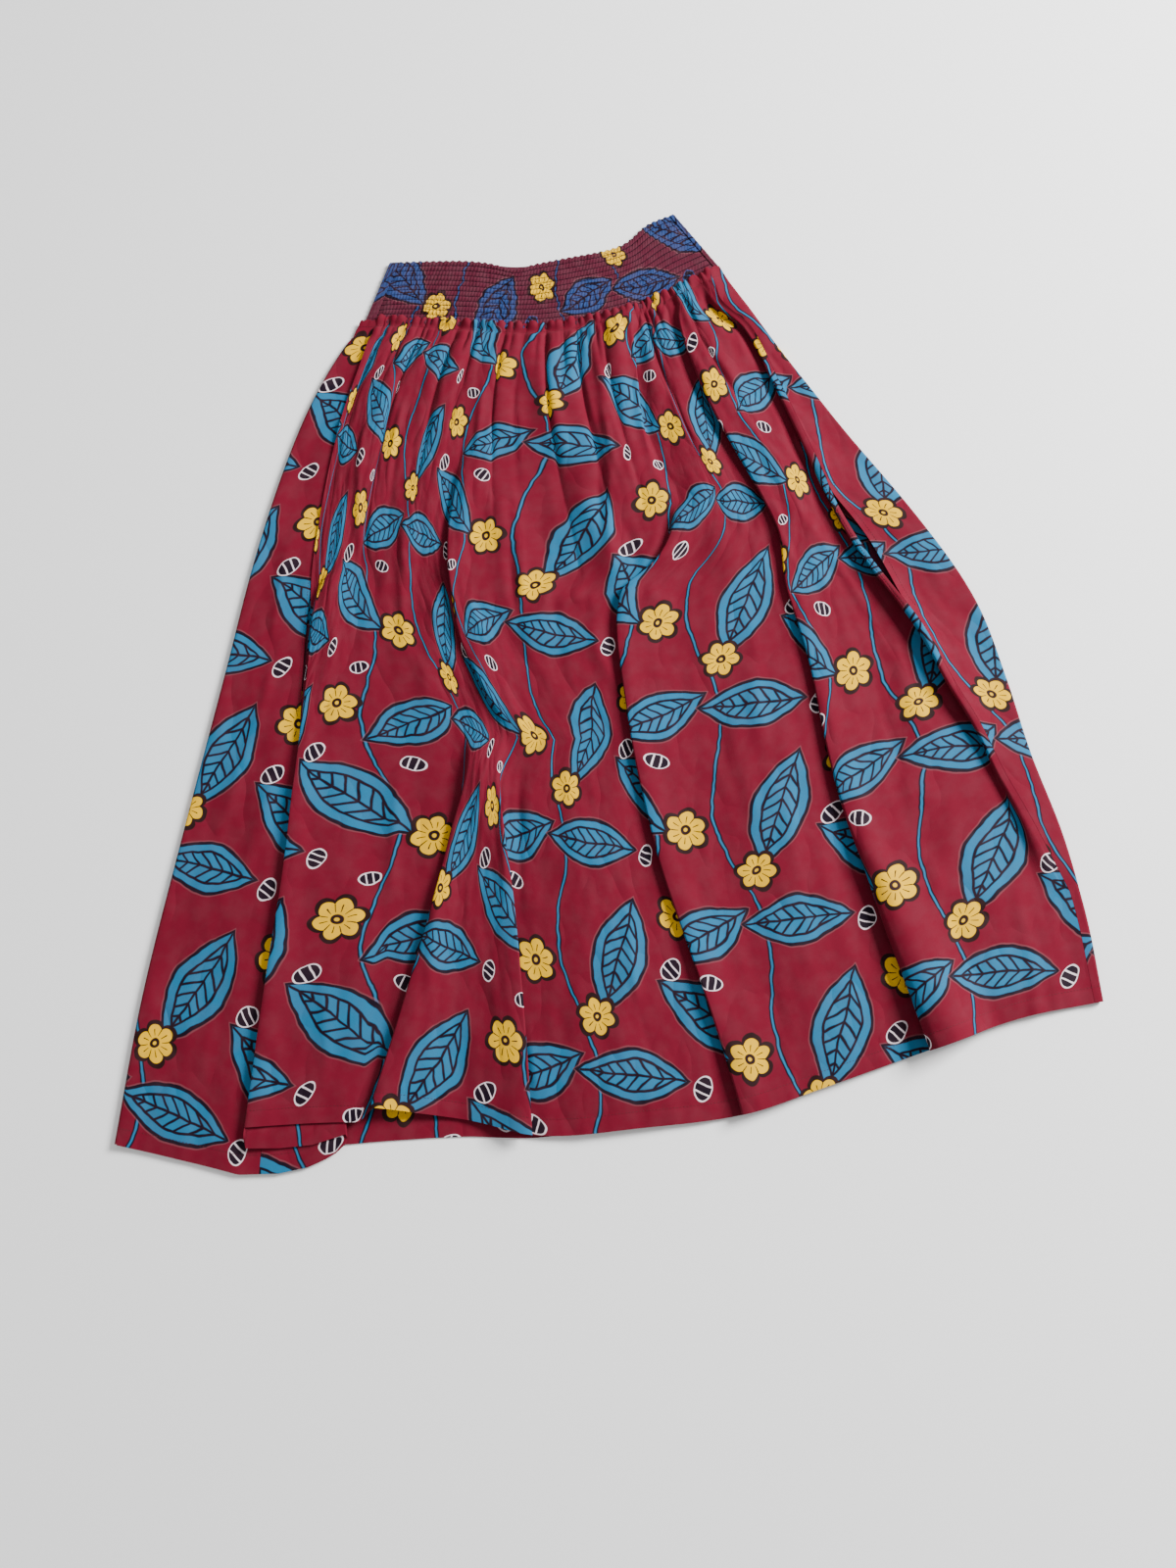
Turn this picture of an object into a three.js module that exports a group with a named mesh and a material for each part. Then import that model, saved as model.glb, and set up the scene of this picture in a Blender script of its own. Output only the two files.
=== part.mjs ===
import * as THREE from 'three';

// Ankara maxi skirt, laid flat with its back panel on the surface: a smocked elastic waistband over a
// gathered skirt. Millimetres, +Z up, +Y from the hem towards the waist, +X across to the right.
// The skirt is one ring of cloth at every height: the front panel on top, from side seam to side seam,
// and the back panel round both side edges and underneath. A section is that ring's path, as distances
// `s` along the row and heights `z`, and the wall is laid off to both sides of it.

const CLOTH = 1.3;
const SEAM_GAP = 0.3;
const BACK_LEVEL = CLOTH / 2;
const FOLD_TURN = 0.85;
const LOOSE_TURN = 1.5;
const LOOSE_LAP = 6;
const TURN_STEPS = 4;
const RUN_OUT_STEP = 3;
const ROLL_STEPS = 6;
const ROLL_GUESS = 3;
const ROW_SAMPLES = 120;
const EDGE_SWELL = { height: 2.2, width: 26 };
const SETTLE_LENGTH = 42;
const GATHER_COLUMNS = 4;
const GATHER_HEIGHT = 6.5;

const BAND_WALL = 1.6;
const BAND_BACK_LEVEL = BAND_WALL / 2;
const BAND_LAYER_GAP = 0.4;
const SHIRRING_ROWS = 12;
const PUCKERS = 26;
const PUFF_HEIGHT = 2.4;
const BAND_DIP = { at: 0.4, width: 0.05, depth: 5 };

const POCKET = { wall: 1.2, level: 2.45, inset: 10, width: 62, columns: 4, rows: 4 };

const PRINTED_CLOTH = { color: 0x9b2036, roughness: 0.78, metalness: 0 };
const PRINTED_CLOTH_BACK = { color: 0x8c2a3a, roughness: 0.8, metalness: 0 };
const BAND_CLOTH = { color: 0x7c1c30, roughness: 0.82, metalness: 0 };
const POCKET_CLOTH = { color: 0x5c1a28, roughness: 0.85, metalness: 0 };

// The outline as seen from above, without what hangs below the front panel's hem
const WAIST_SEAM = [
  { x: -293, y: 400 }, { x: -245, y: 402 }, { x: -167, y: 397 }, { x: -75, y: 395 },
  { x: 18, y: 416 }, { x: 90, y: 451 }, { x: 133, y: 475 },
];
const FRONT_HEM = [
  { x: -494, y: -527 }, { x: -430, y: -518 }, { x: -366, y: -511 }, { x: -266, y: -505 },
  { x: -150, y: -508 }, { x: -67, y: -519 }, { x: 20, y: -512 }, { x: 124, y: -499 },
  { x: 206, y: -473 }, { x: 312, y: -437 }, { x: 408, y: -405 }, { x: 494, y: -388 },
];
const LEFT_EDGE = [
  { x: -293, y: 400 }, { x: -314, y: 372 }, { x: -358, y: 268 }, { x: -396, y: 120 },
  { x: -424, y: -43 }, { x: -454, y: -218 }, { x: -480, y: -381 }, { x: -494, y: -527 },
];
const RIGHT_EDGE = [
  { x: 133, y: 475 }, { x: 173, y: 398 }, { x: 243, y: 294 }, { x: 348, y: 144 }, { x: 401, y: 49 },
  { x: 427, y: -43 }, { x: 446, y: -132 }, { x: 470, y: -218 }, { x: 486, y: -301 }, { x: 494, y: -388 },
];
const BAND_TOP = [
  { x: -266, y: 486 }, { x: -216, y: 488 }, { x: -169, y: 488 }, { x: -122, y: 482 }, { x: -99, y: 483 },
  { x: -52, y: 493 }, { x: -4, y: 504 }, { x: 19, y: 515 }, { x: 43, y: 539 }, { x: 76, y: 555 },
];

// Heights of the front panel's middle, and where its sections lie: 0 at the waist seam, 1 at the hem
const FRONT_LEVEL = [
  { down: 0, level: 2.8 }, { down: 0.06, level: 4.2 }, { down: 1, level: 4.2 },
];
const SECTIONS = [0, 0.04, 0.09, 0.18, 0.29, 0.325, 0.36, 0.4, 0.45, 0.52, 0.57, 0.63, 0.69, 0.76, 0.88, 1];

// The left side seam by its distance from the side pleat's edge, the right one by its distance past
// the side fold's end, and the pocket slits in them
const LEFT_SEAM_OFFSET = [
  { down: 0, offset: -6 }, { down: 0.51, offset: -5 }, { down: 0.7, offset: 4 }, { down: 1, offset: 13 },
];
const RIGHT_SEAM_OFFSET = 6;
const POCKET_SLITS = {
  left: { from: 0.37, to: 0.52, open: 3 },
  right: { from: 0.345, to: 0.5, open: 13 },
};

// The folds from left to right. `across` is where the edge that shows lies, 0 at the left outline and
// 1 at the right. A turn above 0 lays the right-hand cloth over the left, below 0 the left over the
// right; 180 is pressed flat. `lap` is the hidden overlap and `roll` the radius of the edge that shows.
// Where a fold runs out, its lap ends first and its turn then opens over two sections, so that the
// layers stay clear of each other.
const FOLDS = [
  {
    name: 'left side pleat', columnsBefore: 3,
    stations: [
      { down: 0, across: 0.06, lap: 0, turn: 0, roll: 0.85 },
      { down: 0.09, across: 0.083, lap: 0, turn: 0, roll: 0.85 },
      { down: 0.36, across: 0.101, lap: 0, turn: 0, roll: 0.85 },
      { down: 0.4, across: 0.105, lap: 0, turn: 90, roll: 0.85 },
      { down: 0.45, across: 0.109, lap: 0.5, turn: 180, roll: 0.85 },
      { down: 0.52, across: 0.114, lap: 14, turn: 180, roll: 0.85 },
      { down: 0.63, across: 0.122, lap: 30, turn: 180, roll: 1 },
      { down: 0.76, across: 0.129, lap: 54, turn: 180, roll: 1.2 },
      { down: 1, across: 0.128, lap: 98, turn: 180, roll: 1.4 },
    ],
  },
  {
    name: 'lower left fold', columnsBefore: 19,
    stations: [
      { down: 0, across: 0.235, lap: 0, turn: 0, roll: 0.85 },
      { down: 0.29, across: 0.235, lap: 0, turn: 0, roll: 0.85 },
      { down: 0.57, across: 0.31, lap: 0, turn: 0, roll: 0.85 },
      { down: 0.63, across: 0.322, lap: 0, turn: 90, roll: 1 },
      { down: 0.69, across: 0.313, lap: 0.5, turn: 180, roll: 1.2 },
      { down: 0.76, across: 0.301, lap: 12, turn: 180, roll: 1.2 },
      { down: 1, across: 0.251, lap: 34, turn: 180, roll: 1.6 },
    ],
  },
  {
    name: 'long centre-left fold', columnsBefore: 8,
    stations: [
      { down: 0, across: 0.32, lap: 0, turn: 0, roll: 1 },
      { down: 0.18, across: 0.308, lap: 0, turn: 0, roll: 1 },
      { down: 0.29, across: 0.3, lap: 0, turn: 90, roll: 1.4 },
      { down: 0.36, across: 0.3, lap: 0.5, turn: 180, roll: 1.6 },
      { down: 0.4, across: 0.304, lap: 7, turn: 180, roll: 1.4 },
      { down: 0.45, across: 0.312, lap: 0.5, turn: 180, roll: 1.2 },
      { down: 0.52, across: 0.34, lap: 0, turn: 90, roll: 1 },
      { down: 0.57, across: 0.357, lap: 0, turn: 0, roll: 1 },
      { down: 0.63, across: 0.364, lap: 0, turn: -90, roll: 1 },
      { down: 0.69, across: 0.375, lap: 0.5, turn: -180, roll: 1 },
      { down: 0.76, across: 0.387, lap: 11, turn: -180, roll: 1.2 },
      { down: 1, across: 0.41, lap: 15, turn: -180, roll: 1.6 },
    ],
  },
  {
    name: 'centre tuck', columnsBefore: 28,
    stations: [
      { down: 0, across: 0.71, lap: 0, turn: 0, roll: 1 },
      { down: 0.04, across: 0.708, lap: 0, turn: -90, roll: 1 },
      { down: 0.09, across: 0.698, lap: 0.5, turn: -180, roll: 1.2 },
      { down: 0.18, across: 0.668, lap: 0, turn: -90, roll: 1.2 },
      { down: 0.29, across: 0.652, lap: 0, turn: 0, roll: 1 },
      { down: 0.325, across: 0.648, lap: 0, turn: 90, roll: 0.85 },
      { down: 0.36, across: 0.615, lap: 0.5, turn: 180, roll: 0.85 },
      { down: 0.4, across: 0.546, lap: 16, turn: 180, roll: 0.85 },
      { down: 0.52, across: 0.522, lap: 20, turn: 180, roll: 1 },
      { down: 0.69, across: 0.543, lap: 22, turn: 180, roll: 1.2 },
      { down: 1, across: 0.616, lap: 22, turn: 180, roll: 1.6 },
    ],
  },
  {
    name: 'right front fold', columnsBefore: 13,
    stations: [
      { down: 0, across: 0.83, lap: 0, turn: 0, roll: 1 },
      { down: 0.04, across: 0.828, lap: 0, turn: 90, roll: 1.2 },
      { down: 0.09, across: 0.82, lap: 0.5, turn: 180, roll: 1.6 },
      { down: 0.18, across: 0.807, lap: 4, turn: 180, roll: 1.8 },
      { down: 0.36, across: 0.802, lap: 8, turn: 180, roll: 1.6 },
      { down: 0.45, across: 0.77, lap: 14, turn: 180, roll: 1 },
      { down: 0.63, across: 0.76, lap: 20, turn: 180, roll: 1.2 },
      { down: 0.76, across: 0.771, lap: 23, turn: 180, roll: 2.4 },
      { down: 0.88, across: 0.786, lap: 25, turn: 180, roll: 4.6 },
      { down: 1, across: 0.812, lap: 26, turn: 180, roll: 7.5 },
    ],
  },
  {
    name: 'right side fold', columnsBefore: 11,
    stations: [
      { down: 0, across: 0.9, lap: 0, turn: 0, roll: 1 },
      { down: 0.04, across: 0.925, lap: 0, turn: 90, roll: 1.2 },
      { down: 0.09, across: 0.962, lap: 0.5, turn: 180, roll: 1.2 },
      { down: 0.18, across: 0.94, lap: 6, turn: 180, roll: 1.4 },
      { down: 0.29, across: 0.91, lap: 8, turn: 180, roll: 1.4 },
      { down: 0.36, across: 0.892, lap: 6, turn: 180, roll: 1 },
      { down: 0.45, across: 0.888, lap: 6, turn: 180, roll: 1 },
      { down: 0.57, across: 0.91, lap: 9, turn: 180, roll: 1.6 },
      { down: 0.63, across: 0.924, lap: 6, turn: 180, roll: 2 },
      { down: 0.69, across: 0.943, lap: 0.5, turn: 180, roll: 1.8 },
      { down: 0.76, across: 0.953, lap: 0, turn: 90, roll: 1.6 },
      { down: 0.88, across: 0.955, lap: 0, turn: 0, roll: 1 },
      { down: 1, across: 0.957, lap: 0, turn: 0, roll: 1 },
    ],
  },
];
const LAST_COLUMNS = 2;

// Soft ridges of the top layers, each along a line from its upper to its lower end
const RIDGES = [
  { fromDown: 0.03, fromAcross: 0.485, toDown: 0.22, toAcross: 0.51, height: 3.6, width: 15 },
  { fromDown: 0.05, fromAcross: 0.5, toDown: 0.42, toAcross: 0.553, height: 4.2, width: 17 },
  { fromDown: 0.04, fromAcross: 0.545, toDown: 0.3, toAcross: 0.572, height: 3.4, width: 15 },
  { fromDown: 0.02, fromAcross: 0.62, toDown: 0.3, toAcross: 0.585, height: 3.4, width: 14 },
  { fromDown: 0.22, fromAcross: 0.385, toDown: 0.46, toAcross: 0.402, height: 4.6, width: 22 },
  { fromDown: 0.03, fromAcross: 0.15, toDown: 0.34, toAcross: 0.17, height: 3.2, width: 18 },
  { fromDown: 0.04, fromAcross: 0.3, toDown: 0.4, toAcross: 0.23, height: 3, width: 24 },
  { fromDown: 0.03, fromAcross: 0.4, toDown: 0.3, toAcross: 0.35, height: 3.2, width: 16 },
  { fromDown: 0.1, fromAcross: 0.76, toDown: 0.45, toAcross: 0.7, height: 3.6, width: 22 },
  { fromDown: 0.05, fromAcross: 0.88, toDown: 0.36, toAcross: 0.86, height: 3, width: 16 },
  { fromDown: 0.3, fromAcross: 0.96, toDown: 0.55, toAcross: 0.975, height: 2.4, width: 14 },
  { fromDown: 0.55, fromAcross: 0.46, toDown: 1.1, toAcross: 0.5, height: 4.2, width: 64 },
  { fromDown: 0.5, fromAcross: 0.66, toDown: 1.1, toAcross: 0.72, height: 4.4, width: 56 },
  { fromDown: 0.6, fromAcross: 0.86, toDown: 1.1, toAcross: 0.9, height: 4, width: 52 },
];

// How far each layer's hem hangs below the outline's hem line
const UNDER_HEM = [
  { across: 0, drop: 0 }, { across: 0.064, drop: 24 }, { across: 0.12, drop: 44 },
  { across: 0.16, drop: 46 }, { across: 0.195, drop: 40 }, { across: 0.23, drop: 35 },
];
const OVER_HEM = [
  { across: 0.12, drop: 0 }, { across: 0.24, drop: 1 }, { across: 0.253, drop: -13 },
  { across: 0.3, drop: -8 }, { across: 0.4, drop: 0 }, { across: 1, drop: 0 },
];
const BACK_HEM = [
  { across: 0, drop: 0 }, { across: 0.12, drop: 20 }, { across: 0.23, drop: 22 }, { across: 0.29, drop: 17 },
  { across: 0.37, drop: 9 }, { across: 0.43, drop: 0 }, { across: 0.6, drop: -5 }, { across: 0.95, drop: -4 },
  { across: 1, drop: 0 },
];
const STRIP_COLUMNS = 5;
const FLOOR_COLUMNS = [0.95, 0.9, 0.85, 0.79, 0.7, 0.6, 0.5, 0.43, 0.36, 0.29, 0.23, 0.17, 0.12, 0.08, 0.04];

const lerp = THREE.MathUtils.lerp;
const clamp01 = (value) => THREE.MathUtils.clamp(value, 0, 1);

// Straight-line value of a table's column at a place along it
function linearValue(table, place, column, at) {
  const last = table.length - 1;
  if (at <= table[0][place]) return table[0][column];
  for (let i = 0; i < last; i++) {
    const a = table[i];
    const b = table[i + 1];
    if (at <= b[place]) return lerp(a[column], b[column], (at - a[place]) / (b[place] - a[place]));
  }
  return table[last][column];
}

// The same on a smooth curve through the rows
function smoothValue(table, place, column, at) {
  const last = table.length - 1;
  const slope = (i) => {
    const a = table[Math.max(i - 1, 0)];
    const b = table[Math.min(i + 1, last)];
    return (b[column] - a[column]) / (b[place] - a[place]);
  };
  const where = THREE.MathUtils.clamp(at, table[0][place], table[last][place]);
  let i = 0;
  while (i < last - 1 && where > table[i + 1][place]) i++;
  const width = table[i + 1][place] - table[i][place];
  const u = (where - table[i][place]) / width;
  return table[i][column] * (2 * u ** 3 - 3 * u ** 2 + 1)
    + slope(i) * width * (u ** 3 - 2 * u ** 2 + u)
    + table[i + 1][column] * (3 * u ** 2 - 2 * u ** 3)
    + slope(i + 1) * width * (u ** 3 - u ** 2);
}

// An outline table with each point's share of the length so far
function measured(points) {
  let length = 0;
  const table = points.map((point, i) => {
    if (i > 0) length += Math.hypot(point.x - points[i - 1].x, point.y - points[i - 1].y);
    return { x: point.x, y: point.y, at: length };
  });
  for (const row of table) row.at /= length;
  return table;
}

function alongEdge(edge, at) {
  return new THREE.Vector2(smoothValue(edge, 'at', 'x', at), smoothValue(edge, 'at', 'y', at));
}

// A point of the patch that four edge curves bound; the last three tables start where others end
function patchPoint(edges, across, down) {
  const [top, bottom, left, right] = edges;
  const corner = (row) => new THREE.Vector2(row.x, row.y);
  const point = alongEdge(top, across).multiplyScalar(1 - down);
  point.addScaledVector(alongEdge(bottom, across), down);
  point.addScaledVector(alongEdge(left, down), 1 - across);
  point.addScaledVector(alongEdge(right, down), across);
  point.addScaledVector(corner(top[0]), -(1 - across) * (1 - down));
  point.addScaledVector(corner(top[top.length - 1]), -across * (1 - down));
  point.addScaledVector(corner(bottom[0]), -(1 - across) * down);
  point.addScaledVector(corner(bottom[bottom.length - 1]), -across * down);
  return point;
}

const SKIRT_EDGES = [WAIST_SEAM, FRONT_HEM, LEFT_EDGE, RIGHT_EDGE].map(measured);

// A row of the patch measured along its own length
function makeRow(edges, down) {
  const points = [];
  const lengths = [0];
  for (let i = 0; i <= ROW_SAMPLES; i++) {
    points.push(patchPoint(edges, i / ROW_SAMPLES, down));
    if (i > 0) lengths.push(lengths[i - 1] + points[i].distanceTo(points[i - 1]));
  }
  const length = lengths[ROW_SAMPLES];
  const spanAt = (s) => {
    let i = 0;
    while (i < ROW_SAMPLES - 1 && s > lengths[i + 1]) i++;
    return i;
  };
  const share = (i, s) => (s - lengths[i]) / (lengths[i + 1] - lengths[i]);
  return {
    length,
    acrossAt: (s) => {
      const i = spanAt(s);
      return (i + share(i, s)) / ROW_SAMPLES;
    },
    lengthAt: (across) => {
      const i = Math.min(Math.floor(across * ROW_SAMPLES), ROW_SAMPLES - 1);
      return lerp(lengths[i], lengths[i + 1], across * ROW_SAMPLES - i);
    },
    // The point at a distance along the row, moved by `drop` towards the hem
    place: (s, z, drop = 0) => {
      const i = spanAt(s);
      const point = points[i].clone().lerp(points[i + 1], share(i, s));
      const along = points[i + 1].clone().sub(points[i]).normalize();
      return new THREE.Vector3(point.x + along.y * drop, point.y - along.x * drop, z);
    },
  };
}

// 1 within `hold` of an edge, then a smooth fall to 0 over `over`
function fall(distance, hold, over) {
  return 1 - THREE.MathUtils.smoothstep(distance, hold, hold + over);
}

// One fold's run through the section, from its own start: turn, lap, turn back. A short lap turns
// more loosely than a long one.
function foldRun(station) {
  const bend = THREE.MathUtils.degToRad(station.turn);
  const unfolded = 1 - Math.abs(bend) / Math.PI;
  const spare = RUN_OUT_STEP * unfolded * unfolded;
  const hidden = lerp(LOOSE_TURN, FOLD_TURN, clamp01(station.lap / LOOSE_LAP));
  const shown = Math.max(station.roll, hidden);
  const [first, second] = bend > 0 ? [hidden, shown] : [shown, hidden];
  const run = [{ s: 0, z: 0 }];
  let heading = 0;
  const advance = (length, turn) => {
    heading += turn / 2;
    const last = run[run.length - 1];
    run.push({ s: last.s + length * Math.cos(heading), z: last.z + length * Math.sin(heading) });
    heading += turn / 2;
  };
  const step = bend / TURN_STEPS;
  for (let i = 0; i < TURN_STEPS; i++) advance(first * Math.abs(step) + spare, step);
  advance(station.lap + spare, 0);
  for (let i = 0; i < TURN_STEPS; i++) advance(second * Math.abs(step) + spare, -step);
  return run;
}

// A fold as it is at one height: its run moved so that the edge that shows is where the table says
function placeFold(fold, down, row) {
  const station = {
    lap: linearValue(fold.stations, 'down', 'lap', down),
    turn: linearValue(fold.stations, 'down', 'turn', down),
    roll: linearValue(fold.stations, 'down', 'roll', down),
  };
  const closed = Math.abs(station.turn) / 180;
  const run = foldRun(station);
  const half = TURN_STEPS + 1;
  const lip = station.turn > 0
    ? Math.min(...run.slice(half).map((point) => point.s))
    : Math.max(...run.slice(0, half).map((point) => point.s));
  const edge = row.lengthAt(smoothValue(fold.stations, 'down', 'across', down));
  const shift = edge - closed * lip;
  const end = run[run.length - 1].z;
  const lift = Math.max(0, -end);
  return {
    edge,
    stillness: Math.min(1, 2 * closed),
    lap: station.lap,
    rise: Math.abs(end),
    leftOver: station.turn < 0,
    run: run.map((point) => ({ s: point.s + shift, z: point.z + lift })),
  };
}

function ridgeHeight(down, s, row) {
  let height = 0;
  for (const ridge of RIDGES) {
    const share = (down - ridge.fromDown) / (ridge.toDown - ridge.fromDown);
    if (share <= 0 || share >= 1) continue;
    const centre = row.lengthAt(clamp01(lerp(ridge.fromAcross, ridge.toAcross, share)));
    const fade = Math.min(1, 4 * share, 4 * (1 - share));
    height += ridge.height * fade * Math.exp(-(((s - centre) / ridge.width) ** 2));
  }
  return height;
}

// Height of the gathers at one column: a puff every few columns, each of its own size and length
function gatherHeight(down, column) {
  const puff = Math.floor(column / GATHER_COLUMNS);
  const phase = (column % GATHER_COLUMNS) / GATHER_COLUMNS;
  const own = 0.5 + 0.5 * Math.sin(puff * 2.4) * Math.sin(puff * 0.9 + 1);
  const reach = 0.16 + 0.22 * own;
  const start = THREE.MathUtils.smoothstep(down, 0, 0.04);
  const fade = (1 - THREE.MathUtils.smoothstep(down, 0.04, reach)) ** 1.5;
  return GATHER_HEIGHT * (0.55 + 0.45 * own) * start * fade * Math.sin(Math.PI * phase) ** 2;
}

// The whole top of one section, from the left roll's top to the right one's, as a function and a path
function frontSection(down, row) {
  const level = linearValue(FRONT_LEVEL, 'down', 'level', down);
  const folds = FOLDS.map((fold) => placeFold(fold, down, row));
  const swell = EDGE_SWELL.height * THREE.MathUtils.smoothstep(down, 0, 0.08);
  const soft = (s) => ridgeHeight(down, s, row)
    + swell * (fall(s, 0, EDGE_SWELL.width) + fall(row.length - s, 0, EDGE_SWELL.width));
  // What the folds on either side lift this stretch by; `done` folds lie to its left along the cloth
  const carried = (s, done, next = done) => {
    let lift = 0;
    folds.forEach((fold, i) => {
      const hold = fold.lap + FOLD_TURN + 10;
      if (i < done && !fold.leftOver) lift += fold.rise * fall(s - fold.edge, hold, SETTLE_LENGTH);
      if (i >= next && fold.leftOver) lift += fold.rise * fall(fold.edge - s, hold, SETTLE_LENGTH);
    });
    return lift;
  };
  const calm = (s, done) => {
    let share = 1;
    folds.forEach((fold, i) => {
      if (i === done - 1) share *= 1 - fold.stillness * fall(s - fold.edge, fold.lap + 4, 15);
      if (i === done) share *= 1 - fold.stillness * fall(fold.run[0].s - s, fold.lap + 4, 15);
    });
    return share;
  };

  const slit = (side) => {
    const { from, to, open } = POCKET_SLITS[side];
    return open * Math.sin(Math.PI * clamp01((down - from) / (to - from)));
  };
  const leftSeam = folds[0].edge + linearValue(LEFT_SEAM_OFFSET, 'down', 'offset', down);
  const rightSeam = folds[folds.length - 1].run[2 * TURN_STEPS + 1].s + RIGHT_SEAM_OFFSET;

  const path = [];
  let column = 0;
  let from = leftSeam + SEAM_GAP / 2 + slit('left') / 2;
  const stretch = (to, columns, done, first) => {
    for (let i = first; i < columns; i++) {
      const s = lerp(from, to, i / columns);
      const gather = gatherHeight(down, column) * calm(s, done);
      path.push({ s, z: level + carried(s, done) + soft(s) + gather, done });
      column++;
    }
  };
  folds.forEach((fold, i) => {
    stretch(fold.run[0].s, FOLDS[i].columnsBefore, i, i === 0 ? 0 : 1);
    fold.run.forEach((point, j) => {
      const gather = gatherHeight(down, column) * (1 - fold.stillness);
      path.push({
        s: point.s,
        z: level + point.z + carried(point.s, i, i + 1) + soft(point.s) + gather,
        done: i + j / (fold.run.length - 1),
      });
      column++;
    });
    from = fold.run[fold.run.length - 1].s;
  });
  stretch(rightSeam - SEAM_GAP / 2, LAST_COLUMNS, folds.length, 1);
  const end = rightSeam - SEAM_GAP / 2;
  path.push({ s: end, z: level + carried(end, folds.length) + soft(end), done: folds.length });
  return {
    path,
    stripHeight: (s, side) => level + soft(s) + carried(s, side === 'left' ? 0 : folds.length),
    leftStripEnd: leftSeam - SEAM_GAP / 2 - slit('left') / 2,
    rightStripStart: rightSeam + SEAM_GAP / 2 + slit('right'),
  };
}

// The back panel's path: right strip, round the right edge, along the surface, round the left edge
function backSection(down, row, front) {
  const edge = ROLL_GUESS + CLOTH / 2;
  const path = [];
  const strip = (from, to, side) => {
    for (let i = 0; i < STRIP_COLUMNS; i++) {
      const s = lerp(from, to, i / (STRIP_COLUMNS - 1));
      path.push({ s, z: front.stripHeight(s, side), layer: side === 'left' ? 'strip' : 'right' });
    }
  };
  const roll = (s, side) => {
    const radius = (front.stripHeight(s, side) - BACK_LEVEL) / 2;
    const out = side === 'right' ? 1 : -1;
    for (let i = 1; i <= ROLL_STEPS; i++) {
      const step = side === 'right' ? i : ROLL_STEPS - i;
      const angle = Math.PI / 2 - (Math.PI * step) / ROLL_STEPS;
      path.push({
        s: s + out * radius * Math.cos(angle),
        z: BACK_LEVEL + radius + radius * Math.sin(angle),
        layer: 'roll',
      });
    }
  };
  const rightTop = row.length - edge;
  strip(front.rightStripStart, Math.max(rightTop, front.rightStripStart + 1.2), 'right');
  roll(Math.max(rightTop, front.rightStripStart + 1.2), 'right');
  for (const across of FLOOR_COLUMNS) {
    path.push({ s: row.lengthAt(across), z: BACK_LEVEL, layer: 'floor' });
  }
  path.push({ s: edge, z: BACK_LEVEL, layer: 'floor' });
  roll(edge, 'left');
  path.pop();
  strip(edge, front.leftStripEnd, 'left');
  return path;
}

// Lays a path's wall off to both sides, square to it and at an even thickness, with upright ends
function wallSection(path, wall) {
  const direction = (a, b) => new THREE.Vector2(b.s - a.s, b.z - a.z).normalize();
  return path.map((point, i) => {
    const before = direction(path[Math.max(i - 1, 0)], path[Math.max(i, 1)]);
    const after = direction(path[Math.min(i, path.length - 2)], path[Math.min(i + 1, path.length - 1)]);
    const along = before.clone().add(after).normalize();
    const reach = wall / 2 / Math.max(along.dot(after), 0.7);
    const atEnd = i === 0 || i === path.length - 1;
    const normal = atEnd ? new THREE.Vector2(0, Math.sign(along.x)) : new THREE.Vector2(-along.y, along.x);
    return {
      ...point,
      outer: { s: point.s + normal.x * reach, z: Math.max(point.z + normal.y * reach, 0) },
      inner: { s: point.s - normal.x * reach, z: point.z - normal.y * reach },
    };
  });
}

// A closed wall between two grids of points with the same rows and columns
function wallGeometry(outerRows, innerRows) {
  const rows = outerRows.length;
  const columns = outerRows[0].length;
  const positions = [];
  for (const grid of [outerRows, innerRows]) {
    for (const row of grid) for (const point of row) positions.push(point.x, point.y, point.z);
  }
  const outer = (r, c) => r * columns + c;
  const inner = (r, c) => rows * columns + r * columns + c;
  const faces = [];
  const quad = (a, b, c, d) => faces.push(a, b, c, a, c, d);
  for (let r = 0; r < rows - 1; r++) {
    for (let c = 0; c < columns - 1; c++) {
      quad(outer(r, c), outer(r + 1, c), outer(r + 1, c + 1), outer(r, c + 1));
      quad(inner(r, c), inner(r, c + 1), inner(r + 1, c + 1), inner(r + 1, c));
    }
    quad(outer(r + 1, 0), outer(r, 0), inner(r, 0), inner(r + 1, 0));
    const c = columns - 1;
    quad(outer(r, c), outer(r + 1, c), inner(r + 1, c), inner(r, c));
  }
  for (let c = 0; c < columns - 1; c++) {
    quad(outer(0, c), outer(0, c + 1), inner(0, c + 1), inner(0, c));
    const r = rows - 1;
    quad(outer(r, c + 1), outer(r, c), inner(r, c), inner(r, c + 1));
  }
  const geometry = new THREE.BufferGeometry();
  geometry.setAttribute('position', new THREE.Float32BufferAttribute(positions, 3));
  geometry.setIndex(faces);
  return geometry;
}

function addPiece(group, name, geometry, finish) {
  const mesh = new THREE.Mesh(geometry, new THREE.MeshStandardMaterial(finish));
  mesh.name = name;
  group.add(mesh);
}

// How far the hem hangs below the outline at one point of a section
function frontDrop(point, row) {
  const across = row.acrossAt(point.s);
  const under = linearValue(UNDER_HEM, 'across', 'drop', across);
  const over = linearValue(OVER_HEM, 'across', 'drop', across);
  return lerp(under, over, clamp01(point.done));
}

function backDrop(point, row) {
  const across = clamp01(row.acrossAt(point.s));
  if (point.layer === 'strip') return linearValue(UNDER_HEM, 'across', 'drop', across);
  if (point.layer === 'floor') return linearValue(BACK_HEM, 'across', 'drop', across);
  return 0;
}

function placeWall(section, row, down, dropOf) {
  const place = (side) => section.map((point) => {
    const drop = dropOf(point, row) * down ** 3;
    return row.place(point[side].s, point[side].z, drop);
  });
  return { outer: place('outer'), inner: place('inner') };
}

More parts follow.
